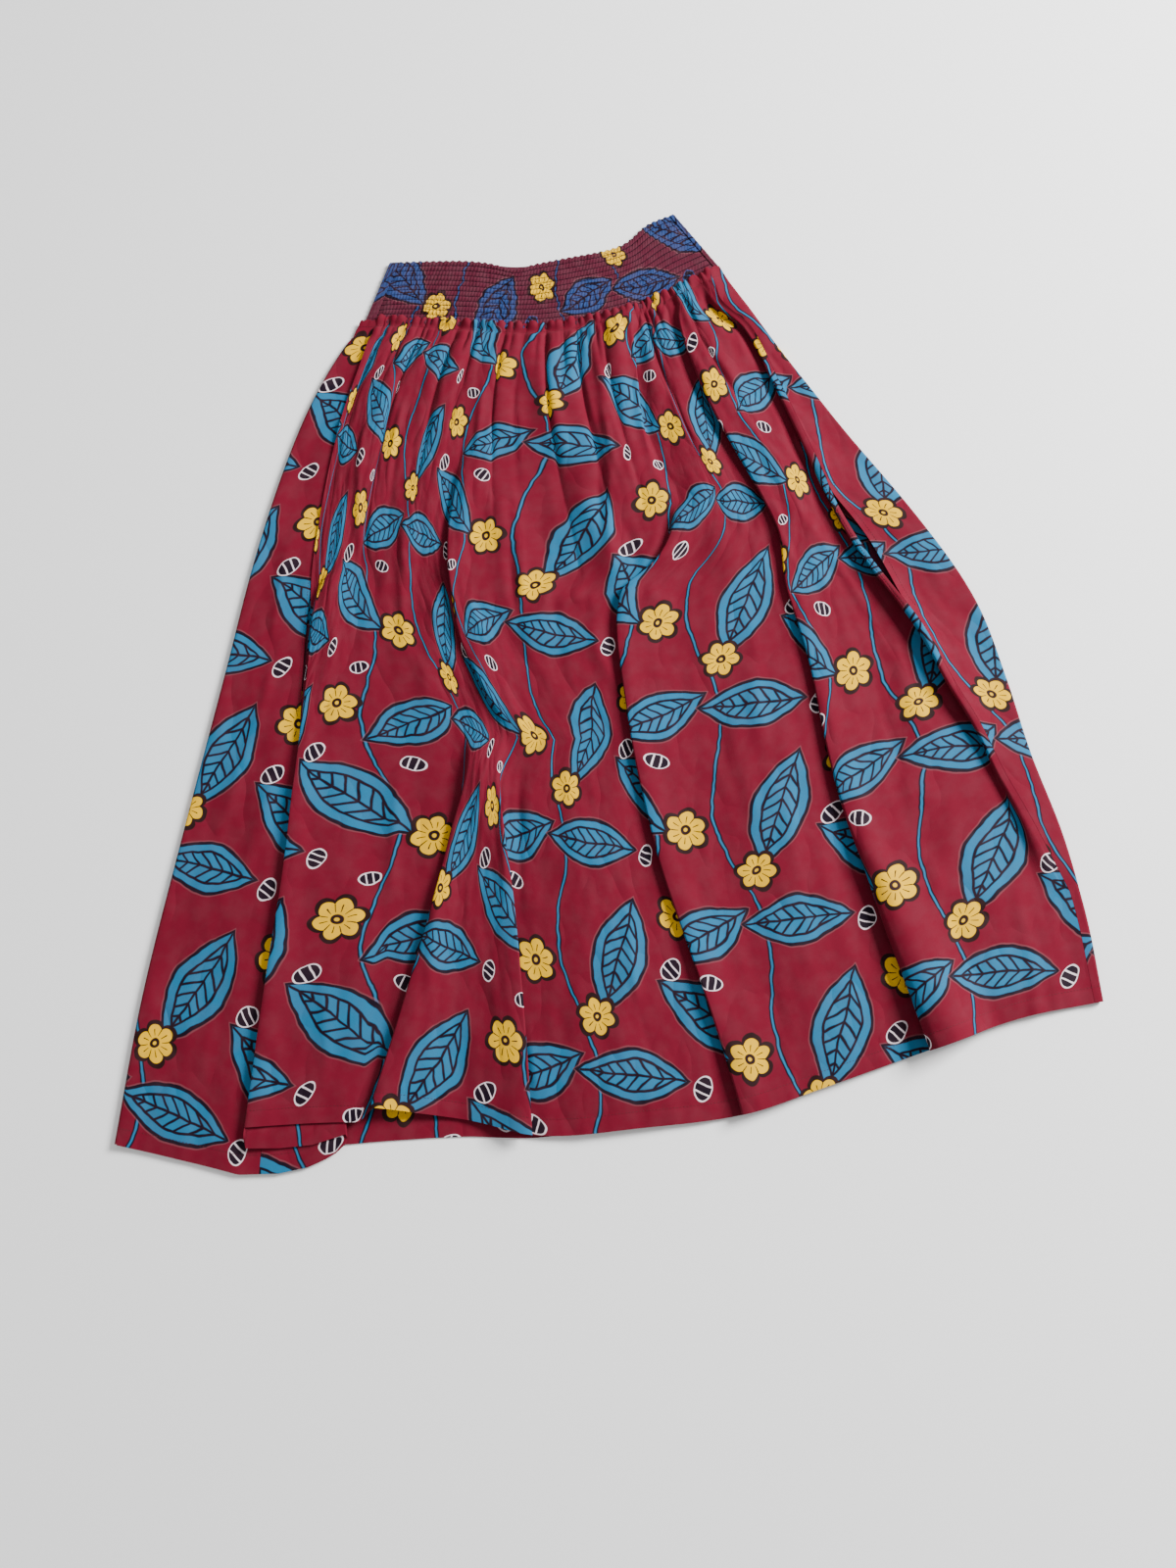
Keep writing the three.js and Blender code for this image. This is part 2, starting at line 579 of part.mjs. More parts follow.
function makeSkirtPanels(group) {
  const front = { outer: [], inner: [] };
  const back = { outer: [], inner: [] };
  for (const down of SECTIONS) {
    const row = makeRow(SKIRT_EDGES, down);
    const frontHalf = frontSection(down, row);
    const backHalf = backSection(down, row, frontHalf);
    const frontWall = placeWall(wallSection(frontHalf.path, CLOTH), row, down, frontDrop);
    const backWall = placeWall(wallSection(backHalf, CLOTH), row, down, backDrop);
    front.outer.push(frontWall.outer);
    front.inner.push(frontWall.inner);
    back.outer.push(backWall.outer);
    back.inner.push(backWall.inner);
  }
  addPiece(group, 'front_panel', wallGeometry(front.outer, front.inner), PRINTED_CLOTH);
  addPiece(group, 'back_panel', wallGeometry(back.outer, back.inner), PRINTED_CLOTH_BACK);
}

// The pocket pieces lie between the panels, behind their slits
function makePocket(group, name, side) {
  const { from, to } = POCKET_SLITS[side];
  const outer = [];
  const inner = [];
  for (let i = 0; i <= POCKET.rows; i++) {
    const down = lerp(from - 0.01, to + 0.02, i / POCKET.rows);
    const row = makeRow(SKIRT_EDGES, down);
    const front = frontSection(down, row);
    const seam = side === 'left' ? front.leftStripEnd : front.rightStripStart;
    const inwards = side === 'left' ? 1 : -1;
    const ends = [seam - inwards * POCKET.inset, seam + inwards * POCKET.width].sort((a, b) => a - b);
    const path = [];
    for (let c = 0; c <= POCKET.columns; c++) {
      path.push({ s: lerp(ends[0], ends[1], c / POCKET.columns), z: POCKET.level });
    }
    const wall = wallSection(path, POCKET.wall);
    outer.push(wall.map((point) => row.place(point.outer.s, point.outer.z)));
    inner.push(wall.map((point) => row.place(point.inner.s, point.inner.z)));
  }
  addPiece(group, name, wallGeometry(outer, inner), POCKET_CLOTH);
}

// The band's rows run between the waist seam and its top edge: 0 at the seam, 1 at the top
const BAND_BOTTOM = SKIRT_EDGES[0];
const BAND_TOP_EDGE = measured(BAND_TOP);

function makeBandRow(up) {
  const bottom = (across) => alongEdge(BAND_BOTTOM, across);
  const points = [];
  for (let i = 0; i <= ROW_SAMPLES; i++) {
    const across = i / ROW_SAMPLES;
    const foot = bottom(across);
    const head = alongEdge(BAND_TOP_EDGE, across);
    const rise = head.clone().sub(foot);
    const start = foot.addScaledVector(rise, SEAM_GAP / rise.length());
    points.push(start.lerp(head, up));
  }
  const table = measured(points);
  let length = 0;
  for (let i = 1; i < points.length; i++) length += points[i].distanceTo(points[i - 1]);
  return {
    length,
    place: (s, z, dip = 0) => {
      const share = s / length;
      let i = 0;
      while (i < ROW_SAMPLES - 1 && share > table[i + 1].at) i++;
      const t = (share - table[i].at) / (table[i + 1].at - table[i].at);
      const x = lerp(table[i].x, table[i + 1].x, t);
      const y = lerp(table[i].y, table[i + 1].y, t);
      return new THREE.Vector3(x, y - dip, z);
    },
  };
}

const BAND_ROLL = (BAND_WALL + BAND_LAYER_GAP) / 2;
const BAND_FRONT_LEVEL = BAND_BACK_LEVEL + 2 * BAND_ROLL;
const BAND_STRIP = { left: 10, right: 4 };

// The back half lies on the surface and turns up round both ends onto the front
function makeBandBack(group) {
  const outer = [];
  const inner = [];
  for (const up of [0, 0.25, 0.5, 0.75, 1]) {
    const row = makeBandRow(up);
    const edge = BAND_ROLL + BAND_WALL / 2;
    const path = [{ s: row.length - edge - BAND_STRIP.right, z: BAND_FRONT_LEVEL }];
    const roll = (centre, from) => {
      for (let i = 0; i <= TURN_STEPS; i++) {
        const angle = from - (Math.PI * i) / TURN_STEPS;
        const z = BAND_BACK_LEVEL + BAND_ROLL + BAND_ROLL * Math.sin(angle);
        path.push({ s: centre + BAND_ROLL * Math.cos(angle), z });
      }
    };
    roll(row.length - edge, Math.PI / 2);
    for (const across of FLOOR_COLUMNS) path.push({ s: row.length * across, z: BAND_BACK_LEVEL });
    roll(edge, -Math.PI / 2);
    path.push({ s: edge + BAND_STRIP.left, z: BAND_FRONT_LEVEL });
    const wall = wallSection(path, BAND_WALL);
    outer.push(wall.map((point) => row.place(point.outer.s, point.outer.z)).reverse());
    inner.push(wall.map((point) => row.place(point.inner.s, point.inner.z)).reverse());
  }
  addPiece(group, 'waistband_back', wallGeometry(outer, inner), BAND_CLOTH);
}

// The front half: a plain inside, and an outside that puffs up between the shirring rows
function makeBandFront(group) {
  const lines = 2 * SHIRRING_ROWS + 1;
  const columns = 2 * PUCKERS;
  const edge = BAND_ROLL + BAND_WALL / 2;
  const outer = [];
  const inner = [];
  for (let line = lines; line >= 0; line--) {
    const up = line / lines;
    const row = makeBandRow(up);
    const start = edge + BAND_STRIP.left + SEAM_GAP;
    const end = row.length - edge - BAND_STRIP.right - SEAM_GAP;
    const puffed = line % 2 === 1;
    const outerRow = [];
    const innerRow = [];
    for (let c = 0; c <= columns; c++) {
      const s = lerp(start, end, c / columns);
      const pucker = (c + Math.floor(line / 2)) % 2 === 0 ? 1 : 0.4;
      const uneven = 0.8 + 0.2 * Math.sin(c * 1.7 + line * 0.8) * Math.sin(c * 0.31);
      const atEnd = c === 0 || c === columns;
      const puff = puffed && line < lines && !atEnd ? PUFF_HEIGHT * pucker * uneven : 0.2;
      const dip = BAND_DIP.depth * up ** 4 * Math.exp(-(((c / columns - BAND_DIP.at) / BAND_DIP.width) ** 2));
      const z = BAND_FRONT_LEVEL + BAND_WALL / 2 + puff;
      outerRow.push(row.place(s, z, dip));
      innerRow.push(row.place(s, BAND_FRONT_LEVEL - BAND_WALL / 2, dip));
    }
    outer.push(outerRow);
    inner.push(innerRow);
  }
  addPiece(group, 'waistband_front', smockedGeometry(outer, inner), BAND_CLOTH);
}

// A closed wall whose outside is a full grid and whose inside is a single plain strip
function smockedGeometry(outerRows, innerRows) {
  const rows = outerRows.length;
  const columns = outerRows[0].length;
  const positions = [];
  for (const row of outerRows) for (const point of row) positions.push(point.x, point.y, point.z);
  for (const row of [innerRows[0], innerRows[rows - 1]]) {
    for (const point of row) positions.push(point.x, point.y, point.z);
  }
  const outer = (r, c) => r * columns + c;
  const inner = (r, c) => (rows + r) * columns + c;
  const faces = [];
  const quad = (a, b, c, d) => faces.push(a, b, c, a, c, d);
  for (let c = 0; c < columns - 1; c++) {
    for (let r = 0; r < rows - 1; r++) {
      quad(outer(r, c), outer(r + 1, c), outer(r + 1, c + 1), outer(r, c + 1));
    }
    quad(inner(0, c), inner(0, c + 1), inner(1, c + 1), inner(1, c));
    quad(outer(0, c), outer(0, c + 1), inner(0, c + 1), inner(0, c));
    quad(outer(rows - 1, c + 1), outer(rows - 1, c), inner(1, c), inner(1, c + 1));
  }
  const last = columns - 1;
  for (let r = 0; r < rows - 1; r++) {
    faces.push(outer(r + 1, 0), outer(r, 0), inner(1, 0));
    faces.push(outer(r, last), outer(r + 1, last), inner(1, last));
  }
  faces.push(outer(0, 0), inner(0, 0), inner(1, 0));
  faces.push(inner(0, last), outer(0, last), inner(1, last));
  const geometry = new THREE.BufferGeometry();
  geometry.setAttribute('position', new THREE.Float32BufferAttribute(positions, 3));
  geometry.setIndex(faces);
  return geometry;
}

const skirt = new THREE.Group();
makeSkirtPanels(skirt);
makeBandBack(skirt);
makeBandFront(skirt);
makePocket(skirt, 'pocket_left', 'left');
makePocket(skirt, 'pocket_right', 'right');

export default skirt;
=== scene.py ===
"""Ankara maxi skirt, laid flat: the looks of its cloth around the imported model's fixed frame."""

import math

import bpy
import numpy as np
from bpy.props import FloatProperty, FloatVectorProperty, IntProperty, PointerProperty
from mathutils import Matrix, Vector


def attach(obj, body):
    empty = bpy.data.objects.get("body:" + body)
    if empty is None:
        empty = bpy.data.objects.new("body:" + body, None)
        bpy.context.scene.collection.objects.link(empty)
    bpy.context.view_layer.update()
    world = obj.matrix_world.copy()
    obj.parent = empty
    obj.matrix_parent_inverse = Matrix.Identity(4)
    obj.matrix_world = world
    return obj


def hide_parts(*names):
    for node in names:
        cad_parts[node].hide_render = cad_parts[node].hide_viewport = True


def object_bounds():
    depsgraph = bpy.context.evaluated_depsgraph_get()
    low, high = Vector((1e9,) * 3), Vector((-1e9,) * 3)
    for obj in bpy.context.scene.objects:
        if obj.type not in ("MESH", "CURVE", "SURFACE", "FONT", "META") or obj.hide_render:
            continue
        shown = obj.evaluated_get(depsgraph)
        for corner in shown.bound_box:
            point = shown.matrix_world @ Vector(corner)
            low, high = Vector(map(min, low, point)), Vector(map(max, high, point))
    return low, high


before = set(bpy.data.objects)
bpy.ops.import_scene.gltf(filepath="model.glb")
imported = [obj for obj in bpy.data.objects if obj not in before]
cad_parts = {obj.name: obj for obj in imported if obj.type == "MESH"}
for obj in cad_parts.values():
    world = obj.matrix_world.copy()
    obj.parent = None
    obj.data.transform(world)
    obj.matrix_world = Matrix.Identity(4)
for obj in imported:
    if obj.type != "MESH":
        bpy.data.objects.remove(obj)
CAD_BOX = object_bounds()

bl_info = {
    "name": "Ankara maxi skirt",
    "version": (1, 0, 0),
    "blender": (4, 5, 0),
    "location": "View3D > Sidebar > Skirt",
    "description": "Builds the cloth of a gathered skirt with a smocked waistband, laid flat",
    "category": "Object",
}

# The skirt's sizes are in millimetres, as in the part's source, and become metres in the meshes
MM = 0.001

# Outlines as seen from above
WAIST_SEAM = [(-293, 400), (-245, 402), (-167, 397), (-75, 395), (18, 416), (90, 451), (133, 475)]
FRONT_HEM = [
    (-494, -527), (-430, -518), (-366, -511), (-266, -505), (-150, -508), (-67, -519),
    (20, -512), (124, -499), (206, -473), (312, -437), (408, -405), (494, -388),
]
LEFT_EDGE = [
    (-293, 400), (-314, 372), (-358, 268), (-396, 120),
    (-424, -43), (-454, -218), (-480, -381), (-494, -527),
]
RIGHT_EDGE = [
    (133, 475), (173, 398), (243, 294), (348, 144), (401, 49),
    (427, -43), (446, -132), (470, -218), (486, -301), (494, -388),
]
BAND_TOP = [
    (-266, 486), (-216, 488), (-169, 488), (-122, 482), (-99, 483),
    (-52, 493), (-4, 504), (19, 515), (43, 539), (76, 555),
]

# How finely each row of the outline is measured
SAMPLES = 240

# Layers and folds, as in the part's source
FOLD_TURN = 0.85
LOOSE_TURN = 1.5
LOOSE_LAP = 6
TURN_STEPS = 4
RUN_OUT_STEP = 3
EDGE_SWELL_HEIGHT = 2.2
EDGE_SWELL_WIDTH = 26
EDGE_SWELL_START = 0.08
SETTLE_START = 10
SETTLE_LENGTH = 42
SEAM_GAP = 0.3
RIGHT_SEAM_OFFSET = 6
FRONT_LEVEL = [(0, 2.8), (0.06, 4.2), (1, 4.2)]
LEFT_SEAM_OFFSET = [(0, -6), (0.51, -5), (0.7, 4), (1, 13)]
POCKET_SLITS = {"left": (0.37, 0.52, 3), "right": (0.345, 0.5, 13)}

# Each fold: columns before it, then down, across, lap, turn and roll of its stations
FOLDS = {
    "left side pleat": (3, [
        (0, 0.06, 0, 0, 0.85), (0.09, 0.083, 0, 0, 0.85), (0.36, 0.101, 0, 0, 0.85),
        (0.4, 0.105, 0, 90, 0.85), (0.45, 0.109, 0.5, 180, 0.85), (0.52, 0.114, 14, 180, 0.85),
        (0.63, 0.122, 30, 180, 1), (0.76, 0.129, 54, 180, 1.2), (1, 0.128, 98, 180, 1.4),
    ]),
    "lower left fold": (19, [
        (0, 0.235, 0, 0, 0.85), (0.29, 0.235, 0, 0, 0.85), (0.57, 0.31, 0, 0, 0.85),
        (0.63, 0.322, 0, 90, 1), (0.69, 0.313, 0.5, 180, 1.2), (0.76, 0.301, 12, 180, 1.2),
        (1, 0.251, 34, 180, 1.6),
    ]),
    "long centre-left fold": (8, [
        (0, 0.32, 0, 0, 1), (0.18, 0.308, 0, 0, 1), (0.29, 0.3, 0, 90, 1.4),
        (0.36, 0.3, 0.5, 180, 1.6), (0.4, 0.304, 7, 180, 1.4), (0.45, 0.312, 0.5, 180, 1.2),
        (0.52, 0.34, 0, 90, 1), (0.57, 0.357, 0, 0, 1), (0.63, 0.364, 0, -90, 1),
        (0.69, 0.375, 0.5, -180, 1), (0.76, 0.387, 11, -180, 1.2), (1, 0.41, 15, -180, 1.6),
    ]),
    "centre tuck": (28, [
        (0, 0.71, 0, 0, 1), (0.04, 0.708, 0, -90, 1), (0.09, 0.698, 0.5, -180, 1.2),
        (0.18, 0.668, 0, -90, 1.2), (0.29, 0.652, 0, 0, 1), (0.325, 0.648, 0, 90, 0.85),
        (0.36, 0.615, 0.5, 180, 0.85), (0.4, 0.546, 16, 180, 0.85), (0.52, 0.522, 20, 180, 1),
        (0.69, 0.543, 22, 180, 1.2), (1, 0.616, 22, 180, 1.6),
    ]),
    "right front fold": (13, [
        (0, 0.83, 0, 0, 1), (0.04, 0.828, 0, 90, 1.2), (0.09, 0.82, 0.5, 180, 1.6),
        (0.18, 0.807, 4, 180, 1.8), (0.36, 0.802, 8, 180, 1.6), (0.45, 0.77, 14, 180, 1),
        (0.63, 0.76, 20, 180, 1.2), (0.76, 0.771, 23, 180, 2.4), (0.88, 0.786, 25, 180, 4.6),
        (1, 0.812, 26, 180, 7.5),
    ]),
    "right side fold": (11, [
        (0, 0.9, 0, 0, 1), (0.04, 0.925, 0, 90, 1.2), (0.09, 0.962, 0.5, 180, 1.2),
        (0.18, 0.94, 6, 180, 1.4), (0.29, 0.91, 8, 180, 1.4), (0.36, 0.892, 6, 180, 1),
        (0.45, 0.888, 6, 180, 1), (0.57, 0.91, 9, 180, 1.6), (0.63, 0.924, 6, 180, 2),
        (0.69, 0.943, 0.5, 180, 1.8), (0.76, 0.953, 0, 90, 1.6), (0.88, 0.955, 0, 0, 1),
        (1, 0.957, 0, 0, 1),
    ]),
}
LAST_COLUMNS = 2

# How far the upper layer stands up beside a fold's edge: down, height, distance from the edge, width
STAND_UP = {
    "left side pleat": [(0.4, 0, 3, 12), (0.55, 4, 4, 13), (0.8, 5, 6, 16), (1, 4, 8, 18)],
    "lower left fold": [(0.6, 0, 4, 14), (0.76, 6, 8, 18), (0.92, 7, 12, 22), (1, 6, 12, 24)],
    "long centre-left fold": [
        (0.26, 0, 3, 12), (0.36, 6, 5, 15), (0.48, 0, 3, 12), (0.6, 0, 3, 12), (0.76, 5, 6, 18),
        (1, 7, 8, 24),
    ],
    "centre tuck": [
        (0.32, 0, 3, 10), (0.39, 6, 5, 13), (0.55, 5, 5, 15), (0.8, 5, 8, 18), (1, 5, 10, 20),
    ],
    "right front fold": [
        (0.05, 0, 3, 10), (0.15, 6, 4, 12), (0.4, 4, 5, 14), (0.6, 5, 8, 16), (0.8, 8, 14, 18),
        (1, 9, 22, 22),
    ],
    "right side fold": [
        (0.05, 0, 3, 10), (0.18, 4, 4, 12), (0.36, 6, 4, 11), (0.5, 10, 4, 12), (0.64, 8, 4, 12),
        (0.74, 0, 3, 12),
    ],
}

# Where in a fold the cloth turns over to the upper layer, and how its gathers die away beside it
TURN_OVER = (0.44, 0.56)
CALM_START = 4
CALM_LENGTH = 15

# Soft ridges: down and across where each starts and ends, height and width. All are raised by one
# share, and each end fades out over a part of the ridge's length
RIDGE_SHARE = 1.4
RIDGE_ENDS = 4
RIDGES = [
    (0.03, 0.485, 0.22, 0.51, 3.6, 15), (0.05, 0.5, 0.42, 0.553, 4.2, 17),
    (0.04, 0.545, 0.3, 0.572, 3.4, 15), (0.02, 0.62, 0.3, 0.585, 3.4, 14),
    (0.22, 0.385, 0.46, 0.402, 4.6, 22), (0.03, 0.15, 0.34, 0.17, 3.2, 18),
    (0.04, 0.3, 0.4, 0.23, 3, 24), (0.03, 0.4, 0.3, 0.35, 3.2, 16),
    (0.1, 0.76, 0.45, 0.7, 3.6, 22), (0.05, 0.88, 0.36, 0.86, 3, 16),
    (0.3, 0.96, 0.55, 0.975, 2.4, 14), (0.55, 0.46, 1.1, 0.5, 4.2, 64),
    (0.5, 0.66, 1.1, 0.72, 4.4, 56), (0.6, 0.86, 1.1, 0.9, 4, 52),
]

# Narrow valleys between the gathers: across at the waist seam, across and down at the lower end, and
# depth. Then a valley's width, how much wider it gets, its depth and how its point is rounded
VALLEYS = [
    (0.04, 0.06, 0.16, 0.6), (0.08, 0.1, 0.3, 0.9), (0.13, 0.12, 0.14, 0.45), (0.175, 0.165, 0.4, 1),
    (0.218, 0.21, 0.13, 0.45), (0.262, 0.24, 0.34, 0.9), (0.316, 0.285, 0.24, 0.6),
    (0.348, 0.335, 0.1, 0.4), (0.385, 0.37, 0.38, 1), (0.435, 0.42, 0.18, 0.45), (0.492, 0.5, 0.44, 1),
    (0.53, 0.53, 0.16, 0.5), (0.572, 0.567, 0.4, 1), (0.6, 0.6, 0.16, 0.4), (0.64, 0.62, 0.34, 0.9),
    (0.695, 0.672, 0.26, 0.5), (0.757, 0.735, 0.36, 1), (0.79, 0.775, 0.13, 0.4),
    (0.862, 0.86, 0.28, 0.9), (0.93, 0.94, 0.13, 0.5),
]
VALLEY_WIDTH = 3.1
VALLEY_SPREAD = 1.1
VALLEY_DEPTH = 1.12
VALLEY_POINT = (0.3, 0.55)

# Small tucks along the waist seam: how many, how far off even spacing, and the spans of their reach
# and depth. Most are short. The ruffle's lobes stand between them
TUCKS = 46
TUCK_SEED = 23
TUCK_SCATTER = 0.3
TUCK_WIDTH = 2
TUCK_REACH = (0.03, 0.12)
SHORT_TUCKS = 1.7
TUCK_DEPTH = (0.45, 1)
TUCK_FADE = 0.8
LOBE_WIDTH = 2.6
LOBE_DEPTH = (0.5, 0.5)

# How the gathers vary along the skirt: their mean height, where they end, and sines laid over each
# other, each with its height, length, start and turn
GATHER_MEAN = 0.8
GATHER_END = 0.5
GATHER_WAVES = [(0.14, 19, 1, -3), (0.06, 7.3, 0, 11)]
RUFFLE_MEAN = 0.75
RUFFLE_WAVES = [(0.25, 13, 0, 0)]

# Short creases, as seen from above: where each starts and ends, height and width. Then the share of
# the height that is left at the ends, and how steeply the sides fall
CREASES = [
    (-67, 78, -80, 32, 3.2, 7.5), (-61, 57, -15, 45, 2.6, 7.5), (-8, 147, 7, 57, 3.5, 7.5),
    (18, 76, 75, 117, 3.8, 9), (16, 137, 28, 85, -2.6, 6), (-97, 17, -28, 3, 2.9, 10.5),
    (-120, 111, -103, 17, -3.2, 7.5), (32, 64, 79, 17, 2.6, 9), (-28, 17, 2, -51, 2.9, 9),
    (-120, -117, -113, -317, 3.5, 6), (-102, -146, -98, -303, -2.9, 6), (12, -297, 23, -416, 3.2, 7.5),
    (74, -338, 100, -416, 3.2, 7.5), (14, -372, 38, -450, -2.2, 7.5), (-87, -416, -81, -473, 2.2, 6),
    (307, 6, 315, -53, 3.2, 6), (315, -53, 325, -126, 3.2, 6), (287, -51, 303, -155, -2.9, 6),
    (318, -51, 334, -101, 2.6, 6), (307, -145, 311, -193, 2.9, 6), (325, -233, 336, -291, 3.5, 7.5),
    (-396, -286, -384, -349, 2.2, 7.5), (-342, -117, -341, -203, 2.6, 7.5),
    (-297, -367, -287, -464, 2.6, 9), (-231, -161, -232, -297, 2.9, 7.5),
    (152, 17, 156, -117, 2.9, 7.5), (179, -161, 189, -297, 2.9, 9),
    (110, -51, 121, -161, -2.6, 7.5), (-190, 111, -167, 6, 2.9, 9), (-304, 159, -311, 40, 2.6, 7.5),
    (-365, 111, -375, -6, 2.2, 7.5), (227, 271, 248, 159, 2.9, 7.5), (251, -224, 276, -271, 2.6, 9),
    (-118, 173, -109, 32, -3, 5), (-107, 165, -98, 40, 2.2, 5), (-84, 43, -30, 57, 2.8, 7),
    (-220, 40, -175, 30, 2.4, 7), (80, 81, 6, 32, 2.8, 8), (-18, 220, -13, 111, -3, 5),
    (-4, 220, -4, 111, 2.4, 5), (-320, 293, -299, 208, 2.4, 6), (-294, 118, -259, 61, -3, 10),
    (-303, 184, -300, 76, 2.4, 6), (-169, 64, -135, -6, 2.4, 7),
]
CREASE_ENDS = 0.25
CREASE_POWER = 1.4

# Many small creases: how many, down and across where they start, length, lean, height and width
MINOR_CREASE_SEED = 11
MINOR_CREASES = [
    (70, (0.01, 0.3), (0.08, 0.97), (0.08, 0.3), 0.012, (-1.1, 2.4), (3, 8)),
    (46, (0.3, 0.85), (0.05, 0.97), (0.1, 0.4), 0.02, (-1.1, 2), (4, 12)),
]

# How far each layer's hem hangs below the outline's hem line
UNDER_HEM = {"across": (0, 0.064, 0.12, 0.16, 0.19, 0.215, 0.235), "drop": (0, 24, 44, 46, 42, 32, 14)}
OVER_HEM = {"across": (0.12, 0.24, 0.253, 0.3, 0.4, 1), "drop": (0, 1, -13, -8, 0, 0)}
BACK_HEM = {
    "across": (0, 0.12, 0.23, 0.29, 0.37, 0.43, 0.6, 0.95, 1),
    "drop": (0, 20, 22, 17, 9, 0, -5, -4, 0),
}

# The ruffle over the band's lower edge, by millimetres of cloth from the seam: how far it rises as a
# share of its height, how far it lies below the seam, and how full its gathers are
RUFFLE_HEIGHT = (5.5, 5)
RUFFLE = {
    "cloth": (0, 2.8, 5.1, 6.5, 8, 10, 12, 13, 14.5, 16.5, 20),
    "rise": (0, 0.55, 0.95, 1, 0.92, 0.6, 0.22, 0.08, 0, 0, 0),
    "below": (0, 0, 0, 0.2, 1, 2.8, 4.6, 5.6, 7.6, 11, 20),
    "full": (0, 0.1, 0.55, 0.85, 1, 0.9, 0.3, 0.1, 0.4, 0.85, 1),
}
# Down the skirt, the row of dark seam stitches below the ruffle: partly real stitching, partly painted
# shadow of the pinch under the ruffle
PINCH_SHADOW_STITCH_LINE = 0.014
RUFFLE_END = 0.05

# The ruffle's swell in front and behind: height, middle and length down the skirt, and the levels
# between which the back's swell sets in
FRONT_SWELL = (1.8, 0.0075, 0.005)
BACK_SWELL = (3.4, 0.007, 0.006)
BACK_SWELL_LEVELS = (2.2, 3.4)

# How much finer than the solids the cloth's meshes are, the rows of each stretch down the skirt, and
# the narrowest share to which a wall is mitred at a sharp turn
FINE_COLUMNS = 3
FINE_TURN = 2
FINE_LAP = 3
VALLEY_COLUMNS = 3.5
ROWS = [
    (0, 0.0215, 21), (0.0215, 0.05, 8), (0.05, 0.16, 19), (0.16, 0.42, 32), (0.42, 0.975, 40),
    (0.975, 1, 9),
]
MITRE_LIMIT = 0.7

# The cuts and the cloth's lengths in metres. Along a row the front's print is spread evenly over this
# width, less of it in the open and more in the valleys. The back's starts at its side seam
FRONT_CUT = (1.26, 0.95)
TOP_OF_CUT = 0.78
BACK_CUT = (1.15, 0.95)
BACK_PRINT_START = 0.11
BACK_HIDDEN = (0.3, 0.7)
SKIRT_LENGTH = 0.93
RUFFLE_CLOTH = 0.0125
RUFFLE_CLOTH_PLACE = (0.006, 0.0215)
CUT_SAMPLES = 700
PRINT_SMOOTHING = (45, 4)
SMOOTHING_PLACE = (0.35, 0.8)
OPEN_CLOTH = 0.35
VALLEY_CLOTH = (2.4, 1.5)
VALLEY_CLOTH_SPREAD = 18
VALLEY_CLOTH_END = (0.3, 0.5)

# The back panel underneath: the middle of its roll from the outline, its columns and its creases
UNDER_EDGE = 3.65
ROLL_STEPS = 12
SHORTEST_STRIP = 1.2
STRIP_COLUMNS = {"left": 30, "right": 10}
UNDER_COLUMNS = 230
UNDER_CREASE = 1
UNDER_EASE = 20

# The hem: how far its layers hang, its doubled cloth, the step above it and the line of its stitches
DROP_POWER = 3
HEM_DOUBLING = 0.8
HEM_STEP = (0.002, 0.001)
HEM_STITCH_INSET = 0.002
HEM_LINE_WIDTH = 0.0022
HEM_LINE_DIP = 0.35

# The rows of stitches: their sizes in metres, how far above the cloth they lie, how far past a slit
# they run, and the column of each panel that they follow beside it
SEAM_STITCH = {"Spacing": 0.0034, "Length": 0.0026, "Thickness": 0.00045}
# The shirring stitches are thick enough to fill the band's grooves: partly real thread, partly painted
# shade there
SHIRRING_STITCH = {"Spacing": 0.0026, "Length": 0.0032, "Thickness": 0.0014}
STITCH_LIFT = 0.12
SHIRRING_LIFT = 0.05
LOWEST_STITCH = 0.0006
PAST_SLIT = 0.012
FRONT_SLITS = [("right", -5)]
BACK_SLITS = [("right", 1), ("left", -2)]


def lerp(a, b, t):
    return a + (b - a) * t


def smoothstep(value, low, high):
    t = np.clip((value - low) / (high - low), 0, 1)
    return t * t * (3 - 2 * t)


def waves(s, turns, table, base=0.0):
    """Sines along a row, over a base: each with its height, length, start, and turn from row to row."""
    sines = (tall * np.sin(s / length + start + turns * turn) for tall, length, start, turn in table)
    return sum(sines, base)


def smooth_value(at, places, values):
    """Values on a smooth curve through a table's rows."""
    places = np.asarray(places, float)
    values = np.asarray(values, float)
    last = len(places) - 1
    before = np.maximum(np.arange(last + 1) - 1, 0)
    after = np.minimum(np.arange(last + 1) + 1, last)
    slopes = (values[after] - values[before]) / (places[after] - places[before])
    at = np.clip(at, places[0], places[-1])
    i = np.clip(np.searchsorted(places, at, side="right") - 1, 0, last - 1)
    width = places[i + 1] - places[i]
    u = (at - places[i]) / width
    return (
        values[i] * (2 * u**3 - 3 * u**2 + 1)
        + slopes[i] * width * (u**3 - 2 * u**2 + u)
        + values[i + 1] * (3 * u**2 - 2 * u**3)
        + slopes[i + 1] * width * (u**3 - u**2)
    )


def values_at(rows, down):
    """Each column of a table at one place down the skirt, on straight lines between its rows."""
    table = np.array(rows, float).T
    return [float(np.interp(down, table[0], column)) for column in table[1:]]


class Edge:
    """A smooth outline through a few points, measured along its chords."""

    def __init__(self, points):
        self.points = np.asarray(points, float)
        steps = np.linalg.norm(np.diff(self.points, axis=0), axis=1)
        self.at = np.concatenate([[0], np.cumsum(steps)]) / steps.sum()

    def __call__(self, at):
        x = smooth_value(at, self.at, self.points[:, 0])
        y = smooth_value(at, self.at, self.points[:, 1])
        return np.stack([x, y], -1)


SEAM_EDGE = Edge(WAIST_SEAM)
HEM_EDGE = Edge(FRONT_HEM)
SIDE_EDGES = (Edge(LEFT_EDGE), Edge(RIGHT_EDGE))
BAND_TOP_EDGE = Edge(BAND_TOP)


